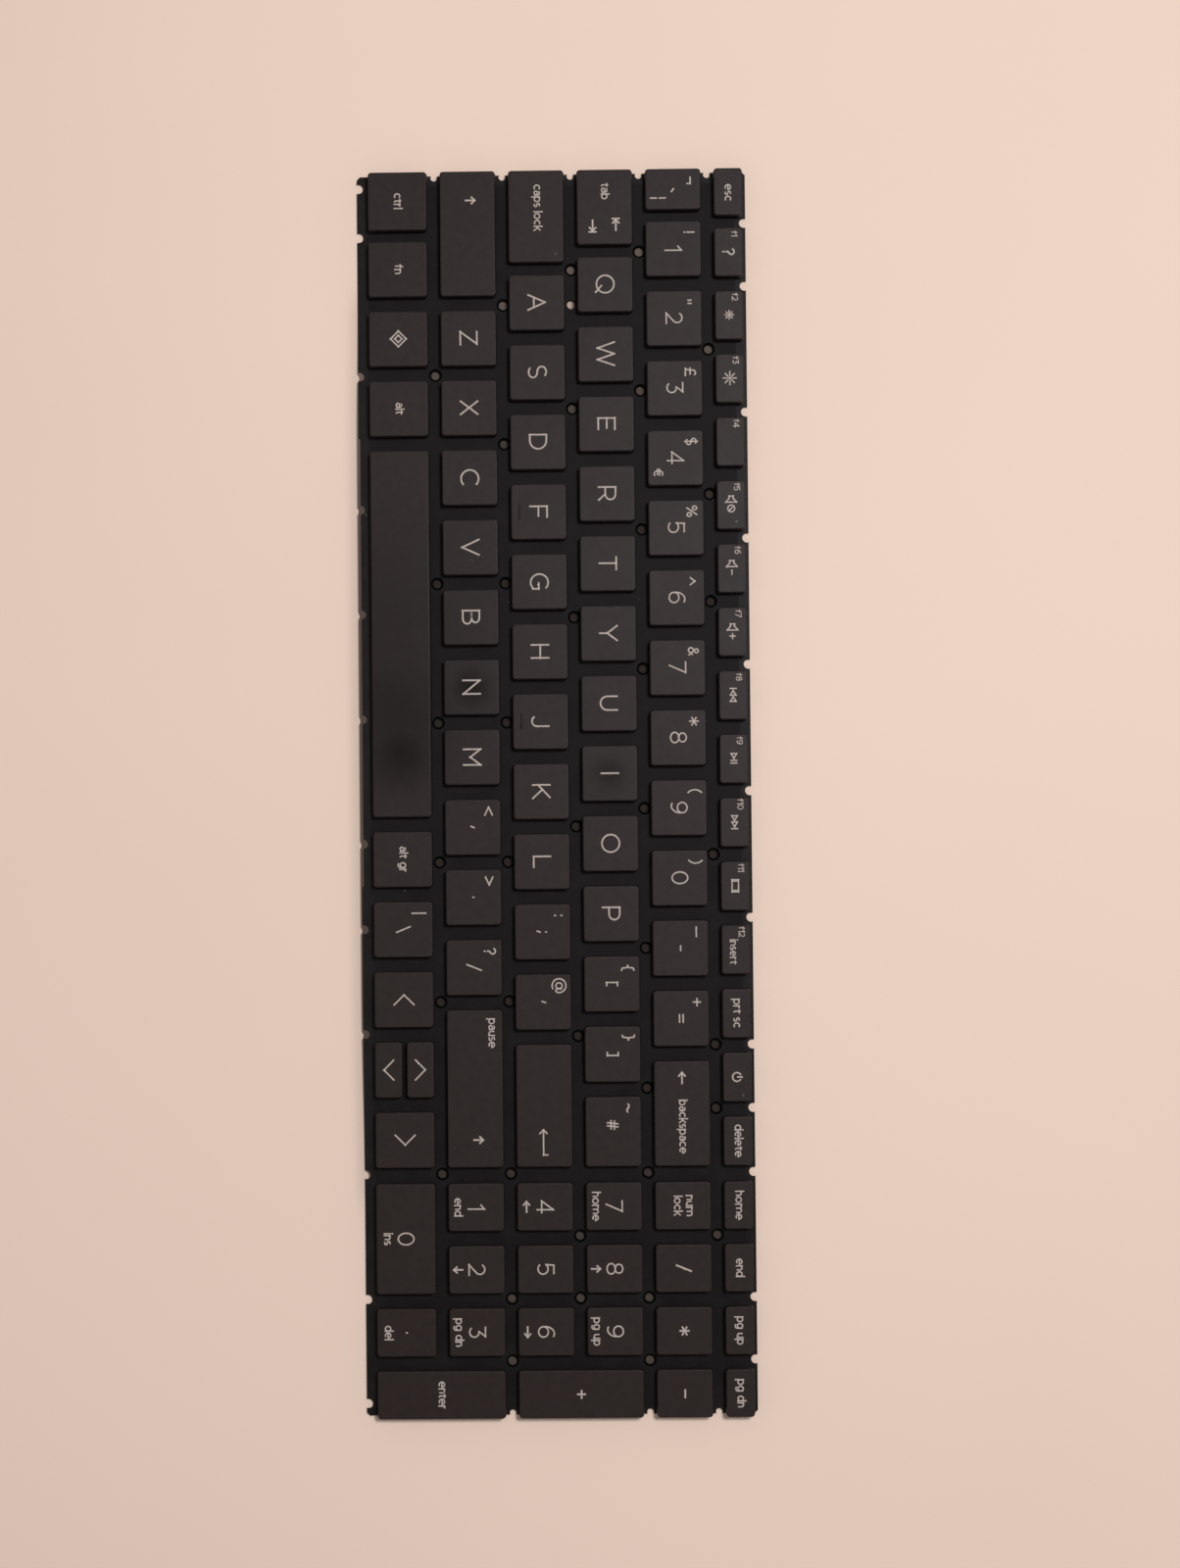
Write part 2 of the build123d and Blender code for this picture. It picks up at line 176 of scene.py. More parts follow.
DIGITS = {
    "0": [arc(0.37, 0.5, 0.37, 0.5, 0, 360)],
    "1": [[(0, 0.8), (0.24, 1), (0.24, 0)]],
    "2": [arc(0.32, 0.69, 0.31, 0.31, 155, -42), [(0.55, 0.48), (0.02, 0), (0.66, 0)]],
    "3": [
        [(0.04, 1), (0.6, 1), (0.3, 0.6)],
        [(0.3, 0.6)] + arc(0.33, 0.3, 0.32, 0.3, 72, -148),
    ],
    "4": [[(0.55, 0), (0.55, 1), (0, 0.27), (0.72, 0.27)]],
    "5": [[(0.6, 1), (0.1, 1), (0.06, 0.52)], arc(0.32, 0.32, 0.34, 0.32, 142, -145)],
    "6": SIX,
    "7": [[(0, 1), (0.64, 1), (0.2, 0)]],
    "8": [arc(0.33, 0.755, 0.28, 0.245, 0, 360), arc(0.33, 0.265, 0.33, 0.265, 0, 360)],
    "9": shifted(scaled(SIX, -1, -1), 0.66, 1),
}
ROUND = arc(0.33, 0.36, 0.33, 0.36, 0, 360)
SMALL_LETTERS = {
    "a": [
        arc(0.3, 0.45, 0.29, 0.27, 145, 15) + [(0.59, 0.42), (0.59, 0)],
        [(0.59, 0.42), (0.26, 0.42)] + arc(0.26, 0.21, 0.24, 0.21, 108, 270) + [(0.38, 0.02), (0.59, 0.2)],
    ],
    "b": [ROUND, [(0, 0), (0, 1.02)]],
    "c": [arc(0.35, 0.36, 0.35, 0.36, 48, 312)],
    "d": [ROUND, [(0.66, 0), (0.66, 1.02)]],
    "e": [[(0, 0.37), (0.68, 0.37)] + arc(0.34, 0.36, 0.34, 0.36, 20, 310)],
    "f": [[(0.38, 1.02)] + arc(0.36, 0.82, 0.2, 0.2, 108, 180) + [(0.16, 0)], [(0, 0.7), (0.36, 0.7)]],
    "g": [ROUND, [(0.66, 0.72), (0.66, 0.0)] + arc(0.34, 0.0, 0.32, 0.28, -18, -150)],
    "h": [[(0, 0), (0, 1.02)], arc(0.28, 0.42, 0.28, 0.3, 175, 18) + [(0.56, 0.42), (0.56, 0)]],
    "i": [[(0, 0), (0, 0.7)], dot(0, 1.06)],
    "k": [[(0, 0), (0, 1.02)], [(0.5, 0.72), (0, 0.25)], [(0.2, 0.42), (0.53, 0)]],
    "l": [[(0, 0), (0, 1.02)]],
    "m": [
        [(0, 0), (0, 0.72)],
        arc(0.29, 0.43, 0.29, 0.29, 175, 18) + [(0.58, 0.43), (0.58, 0)],
        arc(0.87, 0.43, 0.29, 0.29, 175, 18) + [(1.16, 0.43), (1.16, 0)],
    ],
    "n": [[(0, 0), (0, 0.72)], arc(0.28, 0.42, 0.28, 0.3, 175, 18) + [(0.56, 0.42), (0.56, 0)]],
    "o": [arc(0.36, 0.36, 0.36, 0.36, 0, 360)],
    "p": [ROUND, [(0, -0.28), (0, 0.72)]],
    "r": [[(0, 0), (0, 0.72)], arc(0.3, 0.4, 0.3, 0.32, 175, 85)],
    "s": [arc(0.24, 0.54, 0.21, 0.18, 40, 270) + arc(0.25, 0.18, 0.23, 0.18, 72, -145)],
    "t": [[(0.17, 0.92), (0.17, 0.18)] + arc(0.33, 0.18, 0.16, 0.18, 198, 285), [(0, 0.7), (0.38, 0.7)]],
    "u": [[(0, 0.72), (0, 0.3)] + arc(0.28, 0.3, 0.28, 0.3, 198, 360), [(0.56, 0), (0.56, 0.72)]],
}
SMALL_LETTERS = {name: scaled(strokes, 0.955, 1) for name, strokes in SMALL_LETTERS.items()}
LETTER_SHAPES = {**CAPITALS, **DIGITS, **SMALL_LETTERS}
LETTER_GAP = 0.25
WORD_GAP = 0.7


# Signs and pictures, as strokes in millimetres about their own middle

SPEAKER = [
    [(-0.5, 0.55), (-1.1, 0.55), (-1.1, -0.55), (-0.5, -0.55), (0.5, -1.4), (0.5, 1.4), (-0.5, 0.55)],
]
PLAY = [[(-0.62, 0.72), (0.62, 0), (-0.62, -0.72), (-0.62, 0.72)]]
LEFT_ARROW = [[(-1.3, 0), (1.35, 0)], [(-0.6, 0.75), (-1.4, 0), (-0.6, -0.75)]]
UP_ARROW = [[(0, -1.15), (0, 1.05)], [(-0.75, 0.4), (0, 1.15), (0.75, 0.4)]]


def diamond(reach):
    """A square that stands on its corner."""
    return [(0, reach), (reach, 0), (0, -reach), (-reach, 0), (0, reach)]


def sun(inner, start, stop):
    """A ring with eight rays round it."""
    rays = [arc(0, 0, start, start, turn, turn + 1)[:1] + arc(0, 0, stop, stop, turn, turn + 1)[:1]
            for turn in range(0, 360, 45)]
    return [arc(0, 0, inner, inner, 0, 360)] + rays


SIGNS = {
    "exclamation": [[(0, 1.25), (0, -0.4)], dot(0, -1.2)],
    "double_quote": [[(-0.42, 0.3), (-0.42, -0.3)], [(0.42, 0.3), (0.42, -0.3)]],
    "pound": [
        arc(0.3, 0.62, 0.7, 0.72, 25, 180) + [(-0.42, -0.2), (-0.5, -0.8), (-0.85, -1.32)],
        [(-0.85, -1.36), (0.95, -1.36)], [(-0.9, -0.1), (0.55, -0.1)],
    ],
    "dollar": shifted(scaled(CAPITALS["S"], 2.6, 2.6), -0.87, -1.3) + [[(0, 1.6), (0, -1.6)]],
    "euro": [arc(0.2, 0, 0.85, 1.15, 52, 308), [(-1.0, 0.28), (0.45, 0.28)], [(-1.0, -0.28), (0.35, -0.28)]],
    "percent": [
        arc(-0.88, 0.72, 0.5, 0.56, 0, 360), arc(0.88, -0.72, 0.5, 0.56, 0, 360),
        [(0.85, 1.22), (-0.85, -1.22)],
    ],
    "caret": [[(-0.85, -0.5), (0, 0.6), (0.85, -0.5)]],
    "ampersand": scaled([
        [(1.45, -1.72), (-0.62, 0.68)] + arc(-0.1, 1.1, 0.68, 0.66, 200, -38)
        + [(-0.75, -0.1)] + arc(-0.4, -0.88, 0.85, 0.85, 122, 315) + [(1.3, -0.2)],
    ], 0.75, 0.75),
    "asterisk": [arc(0, 0, 1.05, 1.05, turn, turn + 180)[::10] for turn in (90, 30, 150)],
    "left_round": [arc(1.75, 0, 2.2, 2.4, 128, 232)],
    "right_round": [arc(-1.75, 0, 2.2, 2.4, 52, -52)],
    "underline": [[(-1.2, 0), (1.2, 0)]],
    "plus": [[(-0.88, 0), (0.88, 0)], [(0, -0.88), (0, 0.88)]],
    "minus": [[(-0.52, 0), (0.52, 0)]],
    "pad_minus": [[(-0.9, 0), (0.9, 0)]],
    "equals": [[(-0.92, 0.48), (0.92, 0.48)], [(-0.92, -0.48), (0.92, -0.48)]],
    "left_curly": [
        [(0.62, 1.6), (0.3, 1.52), (0.1, 1.2), (0.08, 0.5), (-0.12, 0.14), (-0.48, 0),
         (-0.12, -0.14), (0.08, -0.5), (0.1, -1.2), (0.3, -1.52), (0.62, -1.6)],
    ],
    "left_square": [[(0.4, 1.45), (-0.35, 1.45), (-0.35, -1.45), (0.4, -1.45)]],
    "colon": [dot(0, 0.85), dot(0, -0.85)],
    "semicolon": [dot(0.08, 0.9), [(0.1, -0.75), (-0.15, -1.35)]],
    "at": [
        arc(0, 0, 0.78, 0.85, 0, 360),
        [(0.85, 0.8), (0.85, -0.35)] + arc(1.3, -0.35, 0.45, 0.5, 200, 330)
        + arc(0, 0, 1.85, 1.85, -5, 300),
    ],
    "single_quote": [[(0.12, 0.5), (-0.1, -0.25)]],
    "less": [[(1.0, 0.95), (-1.0, 0), (1.0, -0.95)]],
    "comma": [[(0.1, 0.25), (-0.16, -0.4)]],
    "period": [dot(0, 0)],
    "question": [arc(0, 0.78, 0.75, 0.7, 165, -58) + [(0, -0.2), (0, -0.5)], dot(0, -1.35)],
    "slash": [[(0.75, 1.85), (-0.75, -1.85)]],
    "backslash": [[(-0.72, 1.75), (0.72, -1.75)]],
    "bar": [[(0, 1.75), (0, -1.75)]],
    "broken_bar": [[(0, 1.9), (0, 0.5)], [(0, -0.5), (0, -1.9)]],
    "not": [[(-0.8, 0.35), (0.8, 0.35), (0.8, -0.35)]],
    "back_tick": [[(-0.25, 0.18), (0.28, -0.2)]],
    "tilde": [arc(-0.55, -0.15, 0.55, 0.42, 180, 20) + arc(0.55, 0.15, 0.55, 0.42, 200, 360)],
    "hash": [[(-0.25, 1.3), (-0.55, -1.3)], [(0.55, 1.3), (0.25, -1.3)],
             [(-0.95, 0.45), (1.05, 0.45)], [(-1.05, -0.45), (0.95, -0.45)]],
    "left_arrow": LEFT_ARROW,
    "tab_left": LEFT_ARROW + [[(-1.7, 0.8), (-1.7, -0.8)]],
    "tab_right": scaled(LEFT_ARROW, -1, 1) + [[(1.7, 0.8), (1.7, -0.8)]],
    "up_arrow": UP_ARROW,
    "small_up": scaled(UP_ARROW, 0.95, 0.95),
    "small_down": scaled(UP_ARROW, 0.95, -0.95),
    "small_left": scaled(LEFT_ARROW, 0.95, 0.95),
    "small_right": scaled(LEFT_ARROW, -0.95, 0.95),
    "enter_arrow": [[(3.3, 0.75), (3.3, -0.3), (-3.3, -0.3)], [(-2.45, 0.6), (-3.35, -0.3), (-2.45, -1.2)]],
    "chevron_up": [[(-2.6, -1.3), (0, 1.25), (2.6, -1.3)]],
    "chevron_left": [[(1.3, 2.6), (-1.25, 0), (1.3, -2.6)]],
    "diamond": [diamond(2.1), diamond(0.95)],
    "small_sun": sun(0.2, 0.7, 1.05),
    "large_sun": sun(0.24, 0.8, 1.65),
    "speaker_off": shifted(SPEAKER, -1.2, 0)
    + [arc(1.0, 0, 0.92, 0.92, 0, 360), [(0.37, 0.63), (1.63, -0.63)]],
    "speaker_less": shifted(SPEAKER, -0.9, 0) + [[(0.6, 0), (1.6, 0)]],
    "speaker_more": shifted(SPEAKER, -0.9, 0) + [[(0.6, 0), (1.8, 0)], [(1.2, 0.6), (1.2, -0.6)]],
    "skip_back": shifted(scaled(PLAY, -1, 1), -0.6, 0) + shifted(scaled(PLAY, -1, 1), 1.05, 0)
    + [[(-1.75, 0.72), (-1.75, -0.72)]],
    "play_pause": shifted(PLAY, -0.7, 0) + [[(0.5, 0.72), (0.5, -0.72)], [(1.2, 0.72), (1.2, -0.72)]],
    "skip_on": shifted(PLAY, 0.6, 0) + shifted(PLAY, -1.05, 0) + [[(1.75, 0.72), (1.75, -0.72)]],
    "projector": [[(-1.6, 0.85), (1.6, 0.85), (1.6, -0.85), (-1.6, -0.85), (-1.6, 0.85)],
                  [(-1.25, 0.8), (-1.25, -0.8)], [(1.25, 0.8), (1.25, -0.8)]],
    "power": [arc(0, -0.1, 1.17, 1.17, 116, 424), [(0, 1.25), (0, 0.2)]],
}
SIGNS["right_curly"] = scaled(SIGNS["left_curly"], -1, 1)
SIGNS["right_square"] = scaled(SIGNS["left_square"], -1, 1)
SIGNS["greater"] = scaled(SIGNS["less"], -1, 1)
SIGNS["chevron_down"] = scaled(SIGNS["chevron_up"], 1, -1)
SIGNS["chevron_right"] = scaled(SIGNS["chevron_left"], -1, 1)


# What is printed on each key: the kind of mark, what it says, and its place from the key's
# middle in millimetres. A place with a side is measured inwards from that edge of the key.

SHIFT_PLACE = (-4.3, 4.2)
LEGENDS = {letter: [("letter", letter.upper(), 0, 0)] for letter in "qwertyuiopasdfghjklzxcvbnm"}
LEGENDS |= {digit: [("digit", digit, 0, 0)] for digit in "1234567890"}
for digit, sign in zip("1234567890", [
        "exclamation", "double_quote", "pound", "dollar", "percent",
        "caret", "ampersand", "asterisk", "left_round", "right_round"]):
    LEGENDS[digit].append(("sign", sign, *SHIFT_PLACE))
LEGENDS["4"].append(("fine", "euro", 4.1, -4.6))
for key, sign, shift_sign in [
        ("minus", "minus", "underline"), ("equals", "equals", "plus"),
        ("left_bracket", "left_square", "left_curly"), ("right_bracket", "right_square", "right_curly"),
        ("semicolon", "semicolon", "colon"), ("quote", "single_quote", "at"),
        ("comma", "comma", "less"), ("period", "period", "greater"),
        ("slash", "slash", "question"), ("backslash", "backslash", "bar")]:
    LEGENDS[key] = [("sign", sign, 0, 0), ("sign", shift_sign, *SHIFT_PLACE)]
LEGENDS["hash"] = [("sign", "hash", "left", 7.6, -0.2), ("sign", "tilde", "left", 3.2, 3.9)]
LEGENDS["space"] = []
LEGENDS["tab"] = [("word", "tab", -4.2, 0), ("bold", "tab_left", 4.9, 3.0), ("bold", "tab_right", 5.0, -3.2)]
LEGENDS["enter"] = [("sign", "enter_arrow", "right", 6.6, 0)]
LEGENDS["backspace"] = [("bold", "left_arrow", -9.4, 0), ("word", "backspace", 3.5, 0)]
LEGENDS["grave"] = [
    ("sign", "not", -2.2, 4.3), ("bold", "back_tick", 0.3, -0.1), ("sign", "broken_bar", 2.4, -4.0)]
LEGENDS["caps_lock"] = [("word", "caps lock", -2.3, 0.3), ("lamp", "", 10.2, 5.3)]
LEGENDS["left_shift"] = [("bold", "up_arrow", -8.9, 0.8)]
LEGENDS["right_shift"] = [("word", "pause", "left", 6.3, 4.5), ("bold", "up_arrow", "right", 7.4, 0.8)]
LEGENDS["control"] = [("word", "ctrl", 0, 0)]
LEGENDS["fn"] = [("word", "fn", 0, 0)]
LEGENDS["system"] = [("sign", "diamond", 0, 0)]
LEGENDS["alt"] = [("word", "alt", 0, 0)]
LEGENDS["alt_gr"] = [("word", "alt gr", 0, 0)]
for side in ["left", "up", "right", "down"]:
    LEGENDS[side] = [("sign", f"chevron_{side}", 0, 0)]
LEGENDS["num_lock"] = [("word", "num", 0, 1.6), ("word", "lock", 0, -1.6)]
for key, sign in [("divide", "slash"), ("multiply", "asterisk"), ("subtract", "pad_minus"), ("add", "plus")]:
    LEGENDS[f"pad_{key}"] = [("bold", sign, 0, 0)]
LEGENDS["pad_enter"] = [("word", "enter", 0, 0)]
for digit, lower in zip("0123456789", [
        ("word", "ins"), ("word", "end"), ("bold", "small_down"), ("word", "pg dn"), ("bold", "small_left"),
        None, ("bold", "small_right"), ("word", "home"), ("bold", "small_up"), ("word", "pg up")]):
    LEGENDS[f"pad_{digit}"] = [("digit", digit, 0, 0)]
    if lower:
        LEGENDS[f"pad_{digit}"].append((*lower, 0, -5.0))
LEGENDS["pad_point"] = [("sign", "period", 0, 0), ("word", "del", 0, -5.0)]
LEGENDS["escape"] = [("word", "esc", 0.3, 0)]
for number, sign in enumerate([
        "question", "small_sun", "large_sun", None, "speaker_off", "speaker_less", "speaker_more",
        "skip_back", "play_pause", "skip_on", "projector"], start=1):
    LEGENDS[f"f{number}"] = [("label", f"f{number}", -4.8, 1.4)]
    if sign:
        LEGENDS[f"f{number}"].append(("bold" if number == 1 else "fine", sign, 0, 0))
LEGENDS["f5"].append(("lamp", "", 4.5, 1.4))
LEGENDS["f12"] = [("label", "f12", -4.7, 1.4), ("small_word", "insert", 0.6, -0.8)]
LEGENDS["print_screen"] = [("word", "prt sc", 0, 0)]
LEGENDS["power"] = [("sign", "power", 0, 0), ("lamp", "", 4.7, 1.6)]
for key, word in [("delete", "delete"), ("home", "home"), ("end", "end"),
                  ("page_up", "pg up"), ("page_down", "pg dn")]:
    LEGENDS[key] = [("word", word, 0, 0)]


# Settings


def length(name, description, value):
    """A length that can be changed, given in millimetres."""
    return FloatProperty(name=name, description=description, default=value * MM, unit="LENGTH", precision=5)


def colour(name, description, value):
    """A colour that can be changed, as linear red, green and blue."""
    return FloatVectorProperty(
        name=name, description=description, default=value, subtype="COLOR", size=3, min=0, max=1)


def amount(name, description, value):
    """A plain number that can be changed."""
    return FloatProperty(name=name, description=description, default=value)


class KeycapSettings(bpy.types.PropertyGroup):
    """Shape and finish of the key tops."""

    corner: length("Corner Radius", "Rounding of a key top's corners in plan", 0.85)
    edge: length("Edge Radius", "Rounding of the top edge", 0.25)
    flare: length("Flare", "How far the skirt stands out past the top on each side", 0.12)
    wall: length("Wall", "Thickness of the skirt", 0.7)
    roof: length("Roof", "Thickness of the top", 0.9)
    top_colour: colour("Key Colour", "Matte plastic of the key tops", (0.0182, 0.0132, 0.0133))
    worn_colour: colour("Worn Colour", "Plastic polished by fingers", (0.0040, 0.0030, 0.0032))
    dust_colour: colour("Dust Colour", "Specks of dust", (0.33, 0.30, 0.27))
    roughness: amount("Roughness", "Roughness of the unworn plastic", 0.45)
    bar_length: length("Bar Length", "Length of a homing bar", 4.0)
    bar_width: length("Bar Width", "Width of a homing bar", 0.45)
    bar_place: length("Bar Place", "From a key's front edge to its homing bar", 2.4)
    bar_edge: length("Bar Edge", "Rounding of a homing bar", 0.14)
    bar_root: length("Bar Root", "How deep a homing bar sits in its key", 0.1)


class LegendSettings(bpy.types.PropertyGroup):
    """Sizes and colour of the printing."""

    letter_height: length("Letter Height", "Height of the capital letters", 4.7)
    digit_height: length("Digit Height", "Height of the figures", 4.2)
    word_height: length("Word Height", "Capital height of the words", 1.98)
    label_height: length("Label Height", "Capital height of the function labels", 1.45)
    letter_stroke: length("Letter Stroke", "Line width of letters", 0.59)
    sign_stroke: length("Sign Stroke", "Line width of figures and signs", 0.52)
    word_stroke: length("Word Stroke", "Line width of words", 0.47)
    label_stroke: length("Label Stroke", "Line width of the function labels", 0.3)
    proud: length("Print Height", "How far the printing stands proud of the key", 0.02)
    ink_colour: colour("Ink Colour", "Cream ink of the legends", (0.445, 0.380, 0.346))
    lamp_radius: length("Lamp Radius", "Radius of a lamp window", 0.4)
    lamp_colour: colour("Lamp Colour", "Unlit lamp window", (0.036, 0.035, 0.038))


class MechanismSettings(bpy.types.PropertyGroup):
    """Sizes and colours of what stands under the keys."""

    dome_base: length("Dome Base Radius", "Radius of a rubber dome at its foot", 2.3)
    dome_top: length("Dome Top Radius", "Radius of a rubber dome at its top", 1.3)
    link_width: length("Link Width", "Width of the outer scissor link", 10.8)
    link_span: length("Link Span", "Depth of the scissor links in plan", 9.4)
    link_thickness: length("Link Thickness", "Thickness of the scissor links", 0.7)
    link_rail: length("Link Rail", "Width of the scissor links' bars", 1.0)
    wire: length("Wire", "Thickness of the wire under the long keys", 0.8)
    dome_colour: colour("Dome Colour", "Rubber of the domes", (0.055, 0.052, 0.05))
    link_colour: colour("Link Colour", "Plastic of the scissor links", (0.05, 0.049, 0.048))
    wire_colour: colour("Wire Colour", "Steel of the wires", (0.24, 0.24, 0.245))


class SheetSettings(bpy.types.PropertyGroup):
    """Sheet and plate under the keys."""

    window: length("Window Radius", "Radius of the sheet's round windows", 1.75)
    plain_window: length("Plain Window Radius", "Radius of the one window that shows no rim", 1.25)
    sheet_colour: colour("Sheet Colour", "Dark film between the keys", (0.0068, 0.0058, 0.0061))
    plate_colour: colour("Plate Colour", "Painted steel plate", (0.0066, 0.0058, 0.0062))


class StageSettings(bpy.types.PropertyGroup):
    """Floor, light and camera."""

    floor_colour: colour("Floor Colour", "Pale warm table", (0.80, 0.625, 0.53))
    table_drop: length("Table Drop", "How far the table lies below the slightly bowed plate", 0.5)
    # Painted shade and painted light on the table: its dark share under the plate, the shadow in front of the
    # plate's front edge and the light through that edge's notches
    middle_shade: amount(
        "Middle Shade", "Share of its colour that the table keeps under the plate's middle", 0.036)
    end_shade: amount("End Shade", "Share of its colour that the table keeps under the plate's ends", 0.17)
    painted_front_shadow: length("Front Shadow", "Reach of the shadow that the bowed front edge throws", 0.85)
    shadow_edge: length("Shadow Edge", "Half the width over which that shadow fades", 0.4)
    shade_reach: length("Shade Reach", "Reach of the faint shade round that shadow", 4.0)
    notch_light: length("Notch Light", "How far forwards the light through the front notches falls", 1.7)
    notch_aside: length("Notch Aside", "How far to the right that light falls", 0.5)
    notch_core: length("Notch Core", "Radius of that light where it is full", 1.0)
    notch_reach: length("Notch Reach", "Radius at which that light ends", 1.45)
    table_size: length("Table Size", "Length of the table's side", 12000)
    key_power: FloatProperty(
        name="Key Light", description="Power of the main lamp", default=8.9, unit="POWER")
    lamp_size: length("Lamp Size", "Width of the main lamp", 220)
    lamp_place: FloatVectorProperty(
        name="Lamp Place", description="Where the main lamp hangs", unit="LENGTH", size=3,
        default=(-0.2, 0.26, 1.05))
    sky: amount("Fill Light", "Strength of the soft light from all round", 0.33)
    sky_colour: colour("Fill Colour", "Colour of the soft light from all round", (1.0, 0.97, 0.94))
    place: FloatVectorProperty(
        name="Camera Place", description="Where the camera stands", unit="LENGTH", size=3, precision=5,
        default=(0.01035, 0.01943, 0.73615))
    turn: FloatVectorProperty(
        name="Camera Turn", description="Small turn of the camera away from straight down", subtype="EULER",
        size=3, default=(-0.016847, -0.014252, 0.009928))
    lens: amount("Lens", "Focal length on a picture 36 mm tall", 63.0)


# Shader nodes


class Value:
    """A number, colour or vector on a socket, so that maths on numbers reads as plain expressions."""

    def __init__(self, finish, socket):
        self.finish = finish
        self.socket = socket

    def sum(self, operation, first, second):
        return self.finish.node("ShaderNodeMath", {"operation": operation}, {0: first, 1: second})

    def __add__(self, other):
        return self.sum("ADD", self, other)

    def __radd__(self, other):
        return self.sum("ADD", other, self)

    def __sub__(self, other):
        return self.sum("SUBTRACT", self, other)

    def __rsub__(self, other):
        return self.sum("SUBTRACT", other, self)

    def __mul__(self, other):
        return self.sum("MULTIPLY", self, other)

    def __rmul__(self, other):
        return self.sum("MULTIPLY", other, self)

    def __gt__(self, other):
        return self.sum("GREATER_THAN", self, other)

    def __lt__(self, other):
        return self.sum("LESS_THAN", self, other)

    def __or__(self, other):
        return self.sum("MAXIMUM", self, other)


class Finish:
    """The nodes of a material or world under way, with one method that makes every node."""

    def __init__(self, owner, shader="Principled BSDF"):
        owner.use_nodes = True
        self.tree = owner.node_tree
        self.shader = self.tree.nodes[shader]
        self.place = self.node("ShaderNodeTexCoord", output="Object")

    def node(self, kind, settings=None, sockets=None, output=0):
        node = self.tree.nodes.new(kind)
        for name, value in (settings or {}).items():
            if name == "stops":
                for element, (position, shade) in zip(node.color_ramp.elements, value):
                    element.position = position
                    element.color = shade
            else:
                setattr(node, name, value)
        for name, value in (sockets or {}).items():
            self.feed(node.inputs[name], value)
        return Value(self, node.outputs[output])

    def feed(self, socket, value):
        if isinstance(value, Value):
            self.tree.links.new(value.socket, socket)
        elif socket.type == "RGBA":
            socket.default_value = (*value, 1)
        else:
            socket.default_value = value

    def set(self, **sockets):
        for name, value in sockets.items():
            self.feed(self.shader.inputs[name.replace("_", " ")], value)

    def noise(self, scale, detail=2.0, roughness=0.5):
        sockets = {"Vector": self.place, "Scale": scale, "Detail": detail, "Roughness": roughness}
        return self.node("ShaderNodeTexNoise", {}, sockets)

    def between(self, value, low, high, start=0.0, stop=1.0):
        """The value carried smoothly from one range to another."""
        return self.node(
            "ShaderNodeMapRange", {"interpolation_type": "SMOOTHSTEP"},
            {"Value": value, 1: low, 2: high, 3: start, 4: stop})

    def mix(self, first, second, share):
        return self.node(
            "ShaderNodeMix", {"data_type": "RGBA"}, {"Factor": share, 6: first, 7: second}, output=2)

    def away(self, axis):
        """Distance from the middle along one axis."""
        along = self.node("ShaderNodeSeparateXYZ", {}, {0: self.place}, output=axis)
        return self.node("ShaderNodeMath", {"operation": "ABSOLUTE"}, {0: along})

    def inside(self, half_length, half_depth, fade):
        """One inside an upright rectangle about the middle, none outside it."""
        along = self.between(self.away("X"), half_length - fade, half_length, 1.0, 0.0)
        return along * self.between(self.away("Y"), half_depth - fade, half_depth, 1.0, 0.0)

    def patch(self, x, y, radius, core=0.0, height=CAP_HIGH.z):
        """One near a place given in millimetres, fading from its core to none at the radius."""
        away = self.node(
            "ShaderNodeVectorMath", {"operation": "DISTANCE"},
            {0: self.place, 1: (x * MM, y * MM, height)}, output="Value")
        return self.between(away, core * MM, radius * MM, 1.0, 0.0)

    def in_sight(self):
        """One where a ray shows the background, none where it brings light to the object."""
        kinds = ("Camera", "Glossy", "Transmission")
        return reduce(or_, [self.node("ShaderNodeLightPath", output=f"Is {kind} Ray") for kind in kinds])

    def specks(self, spacing, size, share):
        """One on a few small specks, with none elsewhere."""
        cells = {"Vector": self.place, "Scale": 1 / (spacing * MM)}
        away = self.node("ShaderNodeTexVoronoi", {}, cells, output="Distance")
        pick = self.node("ShaderNodeTexVoronoi", {}, cells, output="Color")
        chance = self.node("ShaderNodeSeparateColor", {}, {"Color": pick}, output="Red")
        return (away < size / spacing) * (chance < share)

    def bump(self, height, depth, strength=1.0):
        self.feed(
            self.shader.inputs["Normal"],
            self.node("ShaderNodeBump", {}, {"Height": height, "Distance": depth * MM, "Strength": strength}))


def settings(name):
    """One of this file's groups of settings."""
    return getattr(bpy.context.scene, name)


def times(share, shade):
    """A colour made lighter or darker."""
    return [share * part for part in shade]


def finish_of(make):
    """Turns a function that fills in a finish into one that gives its material, made only once."""

    def material():
        if make.__name__ not in bpy.data.materials:
            make(Finish(bpy.data.materials.new(make.__name__)))
        return bpy.data.materials[make.__name__]

    return material


# Places that fingers have darkened, each with its reach in millimetres and its strength
WORN_PLACES = [
    (-10.5, -41, 17, 0.9), (-22, -41, 34, 0.68), (-44, -41, 50, 0.45),
    (-4.8, 14.4, 11, 1.0), (-28.2, -22.3, 11, 1.0),
]


